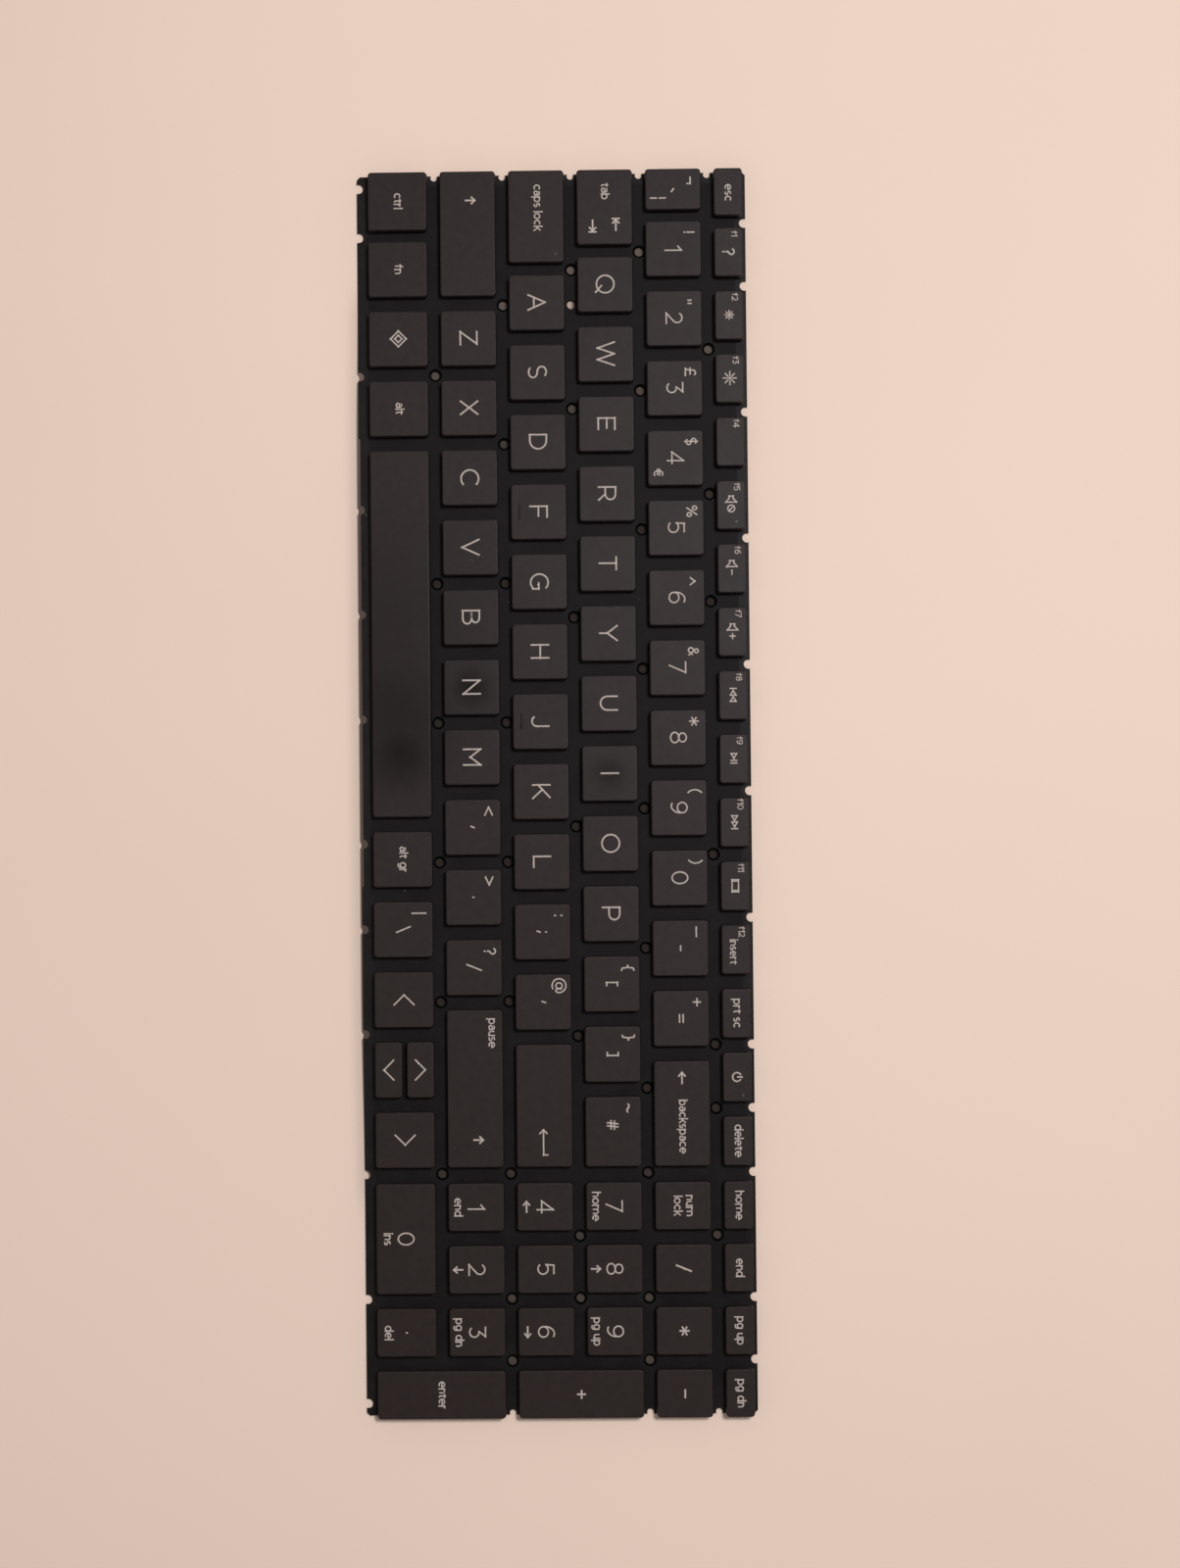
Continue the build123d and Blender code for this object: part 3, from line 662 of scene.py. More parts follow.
@finish_of
def keycap_plastic(finish):
    """Matte moulded plastic with fingered patches and a little dust."""
    keycap = settings("keyboard_keycap")
    mottle = finish.noise(90, 3.0, 0.6)
    grain = finish.noise(3800, 2.0, 0.7)
    patches = [finish.patch(x, y, radius) * strength for x, y, radius, strength in WORN_PLACES]
    worn = reduce(or_, patches) * finish.between(mottle, 0.1, 0.4, 0.4)
    dust = finish.specks(5.2, 0.14, 0.05) | finish.specks(2.1, 0.06, 0.06)
    tone = finish.between(finish.noise(420, 2.0), 0.3, 0.7)
    plain = finish.mix(keycap.top_colour, times(0.86, keycap.top_colour), tone)
    shade = finish.mix(plain, keycap.worn_colour, worn)
    finish.set(
        Base_Color=finish.mix(shade, keycap.dust_colour, dust * 0.35),
        Roughness=keycap.roughness + (mottle - 0.5) * 0.1 - worn * 0.2 + dust * 0.3)
    finish.set(Specular_IOR_Level=0.1)
    finish.bump(grain, 0.02, 0.35)


@finish_of
def bar_worn_and_shaded(finish):
    """The same plastic, darkened both by the fingers that polish it and as painted shade for the bar's shaded
    sides.
    """
    worn = settings("keyboard_keycap").worn_colour
    rub = finish.noise(900, 2.0)
    # Painted shade, together with real wear: the whole bar takes the dark worn colour, so that it reads as
    # shaded
    finish.set(
        Base_Color=finish.mix(worn, times(1.6, worn), rub),
        Roughness=0.4 + rub * 0.15)
    finish.set(Specular_IOR_Level=0.12)


@finish_of
def legend_ink(finish):
    """Cream ink, a little uneven and rubbed."""
    ink = settings("keyboard_legend").ink_colour
    rub = finish.between(finish.noise(700, 3.0, 0.6), 0.35, 0.75)
    finish.set(
        Base_Color=finish.mix(ink, times(0.72, ink), rub * 0.6),
        Roughness=0.5 + rub * 0.2)
    finish.bump(finish.noise(3800, 2.0, 0.7), 0.01, 0.3)


@finish_of
def lamp_window(finish):
    """Clear plastic over an unlit lamp."""
    cloud = finish.noise(2500, 1.0)
    lamp = settings("keyboard_legend").lamp_colour
    finish.set(
        Base_Color=finish.mix(lamp, times(0.6, lamp), cloud),
        Roughness=0.25 + cloud * 0.15)
    finish.set(Specular_IOR_Level=0.15)


@finish_of
def dome_rubber(finish):
    """Soft dark rubber with a faint bloom."""
    shade = settings("keyboard_mechanism").dome_colour
    bloom = finish.noise(900, 3.0, 0.6)
    finish.set(
        Base_Color=finish.mix(shade, times(1.5, shade), bloom),
        Roughness=0.7 + bloom * 0.15)
    finish.bump(finish.noise(5200, 2.0), 0.01, 0.3)


@finish_of
def link_plastic(finish):
    """Smooth moulded plastic of the links."""
    shade = settings("keyboard_mechanism").link_colour
    cloud = finish.noise(600, 2.0)
    finish.set(
        Base_Color=finish.mix(shade, times(1.3, shade), cloud),
        Roughness=0.4 + cloud * 0.12)
    finish.bump(finish.noise(2600, 2.0), 0.006, 0.3)


@finish_of
def wire_steel(finish):
    """Drawn spring wire."""
    shade = settings("keyboard_mechanism").wire_colour
    drawn = finish.noise(1800, 3.0, 0.6)
    finish.set(
        Base_Color=finish.mix(shade, times(0.75, shade), drawn),
        Metallic=1.0,
        Roughness=0.28 + drawn * 0.15)


@finish_of
def sheet_film(finish):
    """Dark satin film with finger haze and dust."""
    shade = settings("keyboard_sheet").sheet_colour
    haze = finish.noise(130, 4.0, 0.65)
    dust = finish.specks(4.3, 0.13, 0.16) | finish.specks(1.7, 0.05, 0.12)
    plain = finish.mix(shade, times(1.55, shade), finish.between(haze, 0.35, 0.7))
    finish.set(
        Base_Color=finish.mix(plain, settings("keyboard_keycap").dust_colour, dust * 0.6),
        Roughness=0.55 + (haze - 0.5) * 0.2 + dust * 0.3)
    finish.set(Specular_IOR_Level=0.05)
    finish.bump(finish.noise(2400, 2.0), 0.01, 0.3)


@finish_of
def plate_paint_with_painted_shade(finish):
    """Thin dark paint on rolled steel, made darker and rougher where the film covers it, as painted shade for
    the recessed rings round the film's windows.
    """
    shade = settings("keyboard_sheet").plate_colour
    cloud = finish.noise(160, 4.0, 0.6)
    dust = finish.specks(4.7, 0.14, 0.14)
    # Painted shade: the plate is much darker where the film covers it, so the rings seen round the film's
    # windows look shaded
    shade_under_film = finish.inside(SHEET_HIGH.x - MM, SHEET_HIGH.y - MM, 2 * MM)
    plain = finish.mix(shade, times(1.6, shade), finish.between(cloud, 0.35, 0.7))
    plain = finish.mix(plain, times(0.15, shade), shade_under_film)
    finish.set(
        Base_Color=finish.mix(plain, settings("keyboard_keycap").dust_colour, dust * 0.6),
        Roughness=0.45 + (cloud - 0.5) * 0.15 + shade_under_film * 0.5)
    finish.set(Specular_IOR_Level=0.06)
    finish.bump(finish.noise(3000, 3.0), 0.012, 0.4)


# Modelling helpers


def start_object(obj):
    """Selects one object and nothing else."""
    bpy.ops.object.select_all(action="DESELECT")
    obj.hide_set(False)
    obj.select_set(True)
    bpy.context.view_layer.objects.active = obj


def in_edit(obj):
    """Opens an object's mesh for editing, with nothing selected."""
    start_object(obj)
    bpy.ops.object.mode_set(mode="EDIT")
    bpy.ops.mesh.select_all(action="DESELECT")


def select(obj, faces=None, edges=None):
    """Selects faces or edges of an open mesh by a test of each."""
    bpy.ops.mesh.select_all(action="DESELECT")
    bpy.ops.mesh.select_mode(type="FACE" if faces else "EDGE")
    mesh = bmesh.from_edit_mesh(obj.data)
    for part in mesh.faces if faces else mesh.edges:
        part.select_set((faces or edges)(part))
    mesh.select_flush_mode()
    bmesh.update_edit_mesh(obj.data)


def close_edit():
    bpy.ops.object.mode_set(mode="OBJECT")


def new_block(width, depth, height, x=0.0, y=0.0, low=0.0):
    """A box at its size and place, still to be shaped."""
    bpy.ops.object.select_all(action="DESELECT")
    bpy.ops.mesh.primitive_cube_add(size=1, location=(x, y, low + height / 2))
    block = bpy.context.object
    block.scale = (width, depth, height)
    bpy.ops.object.transform_apply(location=True, rotation=True, scale=True)
    return block


def copied(obj, move):
    """A copy with a mesh of its own, moved in its mesh."""
    copy = obj.copy()
    copy.data = obj.data.copy()
    copy.data.transform(Matrix.Translation(move))
    bpy.context.scene.collection.objects.link(copy)
    return copy


def joined(name, parts):
    """Several objects made one, under a name of its own."""
    bpy.ops.object.select_all(action="DESELECT")
    for part in parts:
        part.select_set(True)
    bpy.context.view_layer.objects.active = parts[0]
    if len(parts) > 1:
        bpy.ops.object.join()
    piece = bpy.context.view_layer.objects.active
    piece.name = name
    piece.data.name = name
    return piece


def remove(obj):
    start_object(obj)
    bpy.ops.object.delete()


def solid_boxes(node, walls_only=False):
    """Lowest and highest corner of each separate solid, or ring of upright walls, in a CAD node."""
    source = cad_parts[node]
    copy = source.copy()
    copy.data = source.data.copy()
    bpy.context.scene.collection.objects.link(copy)
    in_edit(copy)
    bpy.ops.mesh.select_all(action="SELECT")
    bpy.ops.mesh.remove_doubles(threshold=1e-6)
    if walls_only:
        select(copy, faces=lambda face: abs(face.normal.z) > 0.5)
        bpy.ops.mesh.delete(type="ONLY_FACE")
        select(copy, edges=lambda edge: not edge.link_faces)
        bpy.ops.mesh.delete(type="EDGE")
    bpy.ops.mesh.select_all(action="SELECT")
    bpy.ops.mesh.separate(type="LOOSE")
    close_edit()
    boxes = []
    for part in list(bpy.context.selected_objects):
        points = [vertex.co for vertex in part.data.vertices]
        boxes.append((
            Vector([min(point[axis] for point in points) for axis in range(3)]),
            Vector([max(point[axis] for point in points) for axis in range(3)])))
    bpy.ops.object.delete()
    return boxes


def named_boxes(node, names):
    """The boxes of a group of keys, by name."""
    boxes = sorted(solid_boxes(node), key=lambda box: (-round(box[1].y / MM), box[0].x))
    if len(boxes) != len(names):
        raise RuntimeError(f"{node} has {len(boxes)} keys and {len(names)} names")
    return dict(zip(names, boxes))


KEY_BOXES = {}


def key_boxes():
    """Lowest and highest corner of every key, by name."""
    if not KEY_BOXES:
        KEY_BOXES.update({name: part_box(f"key_{name}") for name in PRESSING_KEYS})
        KEY_BOXES.update(named_boxes("function_row_keys", FUNCTION_KEYS))
        KEY_BOXES.update(named_boxes("number_pad_keys", NUMBER_PAD_KEYS))
        KEY_BOXES.update(named_boxes("edge_keys", EDGE_KEYS))
        for name, reach in WIDER_KEYS.items():
            low, high = KEY_BOXES[name]
            KEY_BOXES[name] = (low, high + Vector((reach * MM, 0, 0)))
    return KEY_BOXES


def middle_of(name):
    low, high = key_boxes()[name]
    return (low.x + high.x) / 2, (low.y + high.y) / 2


def plain_hole():
    """Middle of the one hole without a rim, in the gap behind the letter A."""
    return Vector((middle_of("a")[0], key_boxes()["a"][1].y + 1.7 * MM))


def front_notches():
    """Middle of each notch in the plate's front edge, from the two corners where it is deepest."""
    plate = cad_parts["base_plate"].data
    corners = sorted({
        round(vertex.co.x / MM, 2) for vertex in plate.vertices
        if 1.3 * MM < vertex.co.y - CAD_BOX[0][1] < 2 * MM})
    return [(left + right) / 2 * MM for left, right in zip(corners[::2], corners[1::2])]


# Key tops

CAP_SHAPES = {}


def model_cap(width, depth):
    """A hollow key top with rounded corners, standing on the origin."""
    keycap = settings("keyboard_keycap")
    cap = new_block(width, depth, CAP_HEIGHT)
    in_edit(cap)
    select(cap, faces=lambda face: face.normal.z > 0.9)
    narrowing = (1 - 2 * keycap.flare / width, 1 - 2 * keycap.flare / depth, 1)
    bpy.ops.transform.resize(value=narrowing)
    select(cap, edges=lambda edge: abs(edge.verts[0].co.z - edge.verts[1].co.z) > CAP_HEIGHT / 2)
    bpy.ops.mesh.bevel(offset=keycap.corner, segments=4, affect="EDGES")
    select(cap, edges=lambda edge: min(vert.co.z for vert in edge.verts) > CAP_HEIGHT * 0.99)
    bpy.ops.mesh.bevel(offset=keycap.edge, segments=3, affect="EDGES")
    select(cap, faces=lambda face: face.normal.z > 0.99)
    bpy.ops.mesh.inset(thickness=keycap.edge / 2)
    select(cap, faces=lambda face: face.normal.z < -0.9)
    bpy.ops.mesh.inset(thickness=keycap.wall)
    bpy.ops.mesh.extrude_region_move(
        TRANSFORM_OT_translate={"value": (0, 0, CAP_HEIGHT - keycap.roof)})
    bpy.ops.mesh.select_all(action="SELECT")
    bpy.ops.mesh.normals_make_consistent(inside=False)
    close_edit()
    bpy.ops.object.shade_smooth_by_angle(angle=radians(40))
    cap.data.materials.append(keycap_plastic())
    return cap


def cap_for(name):
    """A key top at its key's place, copied from the first one of its size."""
    low, high = key_boxes()[name]
    size = (round((high.x - low.x) / MM, 2), round((high.y - low.y) / MM, 2))
    if size not in CAP_SHAPES:
        CAP_SHAPES[size] = model_cap(size[0] * MM, size[1] * MM)
    x, y = middle_of(name)
    return copied(CAP_SHAPES[size], (x, y, low.z))


def homing_bar(name):
    """The raised bar that a finger finds in front of the letter."""
    keycap = settings("keyboard_keycap")
    x = middle_of(name)[0]
    low, high = key_boxes()[name]
    foot = CAP_HIGH.z - keycap.bar_root
    bar = new_block(keycap.bar_length, keycap.bar_width, high.z - foot, x, low.y + keycap.bar_place, foot)
    in_edit(bar)
    select(bar, edges=lambda edge: max(vert.co.z for vert in edge.verts) > CAP_HIGH.z)
    bpy.ops.mesh.bevel(offset=keycap.bar_edge, segments=3, affect="EDGES")
    close_edit()
    bpy.ops.object.shade_smooth_by_angle(angle=radians(50))
    bar.data.materials.append(bar_worn_and_shaded())
    return bar


def lamp(x, y):
    """A small round lamp window set in a key top."""
    radius = settings("keyboard_legend").lamp_radius
    bpy.ops.object.select_all(action="DESELECT")
    bpy.ops.mesh.primitive_cylinder_add(
        vertices=16, radius=radius, depth=0.06 * MM, location=(x, y, CAP_HIGH.z))
    window = bpy.context.object
    bpy.ops.object.transform_apply(location=True, rotation=True, scale=True)
    in_edit(window)
    select(window, faces=lambda face: face.normal.z > 0.9)
    bpy.ops.mesh.inset(thickness=radius * 0.25)
    bpy.ops.transform.translate(value=(0, 0, -0.02 * MM))
    close_edit()
    window.data.materials.append(lamp_window())
    return window


# Printing


def straight_runs(points):
    """A stroke cut at its sharp corners, so that each run bends only gently."""
    runs = [[points[0]]]
    for before, here, after in zip(points, points[1:], points[2:]):
        runs[-1].append(here)
        turn = atan2(after[1] - here[1], after[0] - here[0]) - atan2(here[1] - before[1], here[0] - before[0])
        if abs((turn + pi) % (2 * pi) - pi) > radians(38):
            runs.append([here])
    runs[-1].append(points[-1])
    return runs


def add_stroke(curve, points, width):
    """Lays one stroke into a curve, a straight run with square ends."""
    for run in straight_runs(points):
        if len(run) == 2:
            (x0, y0), (x1, y1) = run
            far = max(hypot(x1 - x0, y1 - y0), 1e-9)
            across, up = (x1 - x0) / far * width / 2, (y1 - y0) / far * width / 2
            run = [(x0 - across, y0 - up), (x1 + across, y1 + up)]
        ring = len(run) > 3 and hypot(run[0][0] - run[-1][0], run[0][1] - run[-1][1]) < 1e-7
        if ring:
            run = run[:-1]
        spline = curve.splines.new("POLY")
        spline.points.add(len(run) - 1)
        for point, (x, y) in zip(spline.points, run):
            point.co = (x, y, 0, 1)
            point.radius = width / MM
        spline.use_cyclic_u = ring


def word_strokes(text, height):
    """Strokes of a word at its height, about its own middle."""
    strokes = []
    reach = 0.0
    for character in text:
        if character == " ":
            reach += WORD_GAP - LETTER_GAP
            continue
        shape = LETTER_SHAPES[character]
        left = min(x for stroke in shape for x, y in stroke)
        right = max(x for stroke in shape for x, y in stroke)
        strokes += shifted(shape, reach - left, 0)
        reach += right - left + LETTER_GAP
    middle = 0.36 if text[0].islower() else 0.5
    strokes = shifted(strokes, -(reach - LETTER_GAP) / 2, -middle)
    return scaled(strokes, height, height)


def mark_place(name, mark):
    """A mark's place on its key, from the middle or inwards from one end."""
    x, y = middle_of(name)
    low, high = key_boxes()[name]
    if mark[2] == "left":
        return low.x + mark[3] * MM, y + mark[4] * MM
    if mark[2] == "right":
        return high.x - mark[3] * MM, y + mark[4] * MM
    return x + mark[2] * MM, y + mark[3] * MM


def print_key(name):
    """The printing on one key as thin raised ink, and its lamp window."""
    legend = settings("keyboard_legend")
    styles = {
        "letter": (legend.letter_height, legend.letter_stroke),
        "digit": (legend.digit_height, legend.sign_stroke),
        "sign": (MM, legend.sign_stroke),
        "bold": (MM, legend.sign_stroke * 1.15),
        "fine": (MM, legend.word_stroke),
        "word": (legend.word_height, legend.word_stroke),
        "small_word": (legend.word_height * 0.9, legend.word_stroke * 0.9),
        "label": (legend.label_height, legend.label_stroke),
    }
    parts = []
    curve = bpy.data.curves.new(f"print_{name}", "CURVE")
    curve.dimensions = "3D"
    curve.twist_mode = "Z_UP"
    curve.bevel_depth = 0.5 * MM
    curve.bevel_resolution = 0
    curve.use_fill_caps = True
    for mark in LEGENDS[name]:
        kind, text = mark[:2]
        x, y = mark_place(name, mark)
        if kind == "lamp":
            parts.append(lamp(x, y))
            continue
        height, width = styles[kind]
        if text in SIGNS and kind in ("sign", "bold", "fine"):
            strokes = scaled(SIGNS[text], height, height)
        else:
            strokes = word_strokes(text, height)
        for stroke in shifted(strokes, x, y):
            add_stroke(curve, stroke, width)
    if curve.splines:
        ink = bpy.data.objects.new(f"print_{name}", curve)
        bpy.context.scene.collection.objects.link(ink)
        start_object(ink)
        bpy.ops.object.convert(target="MESH")
        ink = bpy.context.object
        tall = max(vertex.co.z for vertex in ink.data.vertices)
        flat = Matrix.Diagonal((1, 1, legend.proud / tall, 1))
        ink.data.transform(Matrix.Translation((0, 0, CAP_HIGH.z + 0.004 * MM)) @ flat)
        ink.data.materials.clear()
        ink.data.materials.append(legend_ink())
        parts.append(ink)
    return parts


def dressed_key(name):
    """Everything that makes one key top."""
    parts = [cap_for(name)]
    if name in HOMING_KEYS:
        parts.append(homing_bar(name))
    return parts + print_key(name)


def dressed_group(title, names, node):
    """A group of keys that ride on the base, as one piece."""
    piece = joined(title, [part for name in names for part in dressed_key(name)])
    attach(piece, "base")
    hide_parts(node)


# Mechanism

MECHANISM_SHAPES = {}
WIRE_ENDS = 4.2 * MM      # from a key's ends in to its wire's two arms
WIRE_BACK = 3.2 * MM      # from a long key's back to the tips of its wire
WIRE_FRONT = 2.2 * MM     # from a long key's front to its wire
WIRE_SIDE = 2.1 * MM      # the same at the sides of a tall key
LINK_ROOM = 2.6 * MM      # how much shallower than its key a link is
LINK_SIDES = 2.2 * MM     # how much narrower than its key a link is
SPACE_LINKS = 26 * MM     # from the space bar's middle to each of its two pairs of links
DOME_NECK = 0.86          # width of a dome above its foot, as a share of the foot


def model_dome():
    """A rubber dome on a wide foot, standing on the origin."""
    mechanism = settings("keyboard_mechanism")
    height = DOME_HIGH.z - DOME_LOW.z
    bpy.ops.object.select_all(action="DESELECT")
    bpy.ops.mesh.primitive_cone_add(
        vertices=14, radius1=mechanism.dome_base * DOME_NECK, radius2=mechanism.dome_top,
        depth=height, location=(0, 0, height / 2))
    dome = bpy.context.object
    bpy.ops.object.transform_apply(location=True, rotation=True, scale=True)
    in_edit(dome)
    select(dome, faces=lambda face: face.normal.z < -0.9)
    bpy.ops.mesh.extrude_region_move(TRANSFORM_OT_translate={"value": (0, 0, 0.0)})
    bpy.ops.transform.resize(value=(1 / DOME_NECK, 1 / DOME_NECK, 1))
    select(dome, faces=lambda face: face.normal.z > 0.9)
    bpy.ops.mesh.inset(thickness=mechanism.dome_top * 0.45)
    bpy.ops.transform.translate(value=(0, 0, -0.3 * MM))
    bpy.ops.mesh.select_all(action="SELECT")
    bpy.ops.mesh.normals_make_consistent(inside=False)
    close_edit()
    bpy.ops.object.shade_smooth_by_angle(angle=radians(40))
    dome.data.materials.append(dome_rubber())
    return dome


def model_link(width, span, rise, lean):
    """A rectangular link frame, leaning up to the back or the front, about the origin."""
    mechanism = settings("keyboard_mechanism")
    link = new_block(width, span, mechanism.link_thickness, low=-mechanism.link_thickness / 2)
    in_edit(link)
    select(link, faces=lambda face: abs(face.normal.z) > 0.9)
    bpy.ops.mesh.inset(thickness=mechanism.link_rail)
    bpy.ops.mesh.bridge_edge_loops()
    bpy.ops.mesh.select_all(action="SELECT")
    bpy.ops.mesh.normals_make_consistent(inside=False)
    close_edit()
    tilt = atan2(rise - mechanism.link_thickness, span) * lean
    link.data.transform(Matrix.Rotation(tilt, 4, "X"))
    link.data.materials.append(link_plastic())
    return link


def link_pair(x, y, width, span):
    """The two crossed links under one key, the inner one narrower."""
    mechanism = settings("keyboard_mechanism")
    rise = (DOME_HIGH.z - DOME_LOW.z) - 0.1 * MM
    size = (round(width / MM, 2), round(span / MM, 2))
    if size not in MECHANISM_SHAPES:
        narrow = width - 2 * mechanism.link_rail - 0.4 * MM
        MECHANISM_SHAPES[size] = [
            model_link(width, span, rise, 1), model_link(narrow, span - 0.6 * MM, rise, -1)]
    middle = (DOME_LOW.z + DOME_HIGH.z) / 2
    return [copied(link, (x, y, middle)) for link in MECHANISM_SHAPES[size]]


def wire_for(name, ends_back):
    """The bent wire that keeps a long key level, lying on the sheet with its ends up at the key."""
    mechanism = settings("keyboard_mechanism")
    low, high = key_boxes()[name]
    curve = bpy.data.curves.new(f"wire_{name}", "CURVE")
    curve.dimensions = "3D"
    curve.bevel_depth = mechanism.wire / 2
    curve.bevel_resolution = 1
    curve.use_fill_caps = True
    bottom, top = DOME_LOW.z + mechanism.wire / 2, DOME_HIGH.z - mechanism.wire / 2
    if ends_back:
        route = [
            (low.x + WIRE_ENDS, high.y - WIRE_BACK, top), (low.x + WIRE_ENDS, low.y + WIRE_FRONT, bottom),
            (high.x - WIRE_ENDS, low.y + WIRE_FRONT, bottom), (high.x - WIRE_ENDS, high.y - WIRE_BACK, top)]
    else:
        route = [
            (high.x - WIRE_SIDE, low.y + WIRE_ENDS, top), (low.x + WIRE_SIDE, low.y + WIRE_ENDS, bottom),
            (low.x + WIRE_SIDE, high.y - WIRE_ENDS, bottom), (high.x - WIRE_SIDE, high.y - WIRE_ENDS, top)]
    spline = curve.splines.new("POLY")
    spline.points.add(3)
    for point, place in zip(spline.points, route):
        point.co = (*place, 1)
    wire = bpy.data.objects.new(f"wire_{name}", curve)
    bpy.context.scene.collection.objects.link(wire)
    start_object(wire)
    bpy.ops.object.convert(target="MESH")
    wire = bpy.context.object
    wire.data.materials.clear()
    wire.data.materials.append(wire_steel())
    bpy.ops.object.shade_smooth_by_angle(angle=radians(50))
    return wire


def mechanism_for(name):
    """Dome and links under one key."""
    mechanism = settings("keyboard_mechanism")
    x, y = middle_of(name)
    low, high = key_boxes()[name]
    if "dome" not in MECHANISM_SHAPES:
        MECHANISM_SHAPES["dome"] = model_dome()
    parts = [copied(MECHANISM_SHAPES["dome"], (x, y, DOME_LOW.z))]
    span = min(mechanism.link_span, high.y - low.y - LINK_ROOM)
    width = min(mechanism.link_width, high.x - low.x - LINK_SIDES)
    offsets = (-SPACE_LINKS, SPACE_LINKS) if name == "space" else (0.0,)
    for offset in offsets:
        parts += link_pair(x + offset, y, width, span)
    return parts


# Table

# Where the painted shadow lies in front of the plate's front edge, as if that edge bowed up off the table,
# along x in
# millimetres: where it starts to rise, the two ends of its highest stretch, and where it is down again
BOW_START, BOW_LEFT, BOW_RIGHT, BOW_END = -145, -95, 55, 125

# Where the painted shade on the table under the plate grows lighter towards each end, as shares of the
# sheet's half length
LEFT_LIGHT, LEFT_DARK, RIGHT_DARK, RIGHT_LIGHT = -0.9, -0.4, 0.4, 0.95


def painted_front_shadow(finish, along, across):
    """Painted shadow on the table in front of the plate's front edge, as if that edge bowed up off it, with
    painted light through the edge's notches.
    """
    stage = settings("keyboard_stage")
    rise = finish.between(along, BOW_START * MM, BOW_LEFT * MM)
    bow = rise * finish.between(along, BOW_RIGHT * MM, BOW_END * MM, 1.0, 0.0)
    front = across - CAD_BOX[0][1]
    depth = front + bow * stage.painted_front_shadow
    painted_shadow_band = finish.between(depth, -stage.shadow_edge, stage.shadow_edge, 0.0, 0.92)
    # Painted light: round gaps in the painted shadow where light through each front notch would fall
    ahead = front + bow * stage.notch_light
    for x in front_notches():
        beside = along - (x + stage.notch_aside)
        away = beside * beside + ahead * ahead
        painted_shadow_band = painted_shadow_band * finish.between(away, stage.notch_core ** 2, stage.notch_reach ** 2)
    # A faint painted shade reaches a few millimetres further out round the painted shadow
    shade = painted_shadow_band | finish.between(depth, -stage.shade_reach, 0.0, 0.0, 0.2)
    return shade * finish.between(bow, 0.0, 0.25) * (across < 0.0)


@finish_of
def table_with_painted_shade(finish):
    """Pale table with painted shade under the plate, a painted shadow and painted light at its front edge,
    and a painted light spot under one hole; it fades into the backdrop far from the object.
    """
    stage = settings("keyboard_stage")
    shade = stage.floor_colour
    plain = finish.mix(shade, times(0.94, shade), finish.noise(6, 3.0))
    along, across = [
        finish.node("ShaderNodeSeparateXYZ", {}, {0: finish.place}, output=axis) for axis in "XY"]
    # Painted shade: the table is darkened under the plate, where only the holes show it, and by the painted
    # shadow in front of the front edge
    under = finish.inside(SHEET_HIGH.x, SHEET_HIGH.y, 2 * MM) | painted_front_shadow(finish, along, across)
    half = SHEET_HIGH.x
    # The painted shade under the plate grows lighter towards both ends, most of all at the left
    left_end = finish.between(along, LEFT_LIGHT * half, LEFT_DARK * half, 1.0, 0.0)
    right_end = finish.between(along, RIGHT_DARK * half, RIGHT_LIGHT * half, 0.0, 0.45)
    dark = finish.mix(times(stage.middle_shade, shade), times(stage.end_shade, shade), left_end | right_end)
    # Painted light: a brighter spot on the table under the one plain hole behind the letter A, lit towards
    # its front
    bright = plain_hole() / MM
    painted_hole_light = finish.patch(bright.x, bright.y - 1.3, 2.1, 0.9, 0.0)
    dark = finish.mix(dark, times(0.62, shade), painted_hole_light)
    near = finish.patch(0, 0, 740, 260)
    finish.set(
        Base_Color=finish.mix((0, 0, 0), finish.mix(plain, dark, under), near),
        Roughness=0.85,
        Specular_IOR_Level=0.05,
        Emission_Color=finish.mix((0, 0, 0), shade, (1.0 - near) * finish.in_sight()),
        Emission_Strength=1.0)


# Operators


class KEYBOARD_OT_plate(bpy.types.Operator):
    """Paints the steel plate that carries the keys"""

    bl_idname = "keyboard.plate"
    bl_label = "Plate"

    def execute(self, context):
        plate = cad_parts["base_plate"]
        plate.data.materials.clear()
        plate.data.materials.append(plate_paint_with_painted_shade())
        return {"FINISHED"}


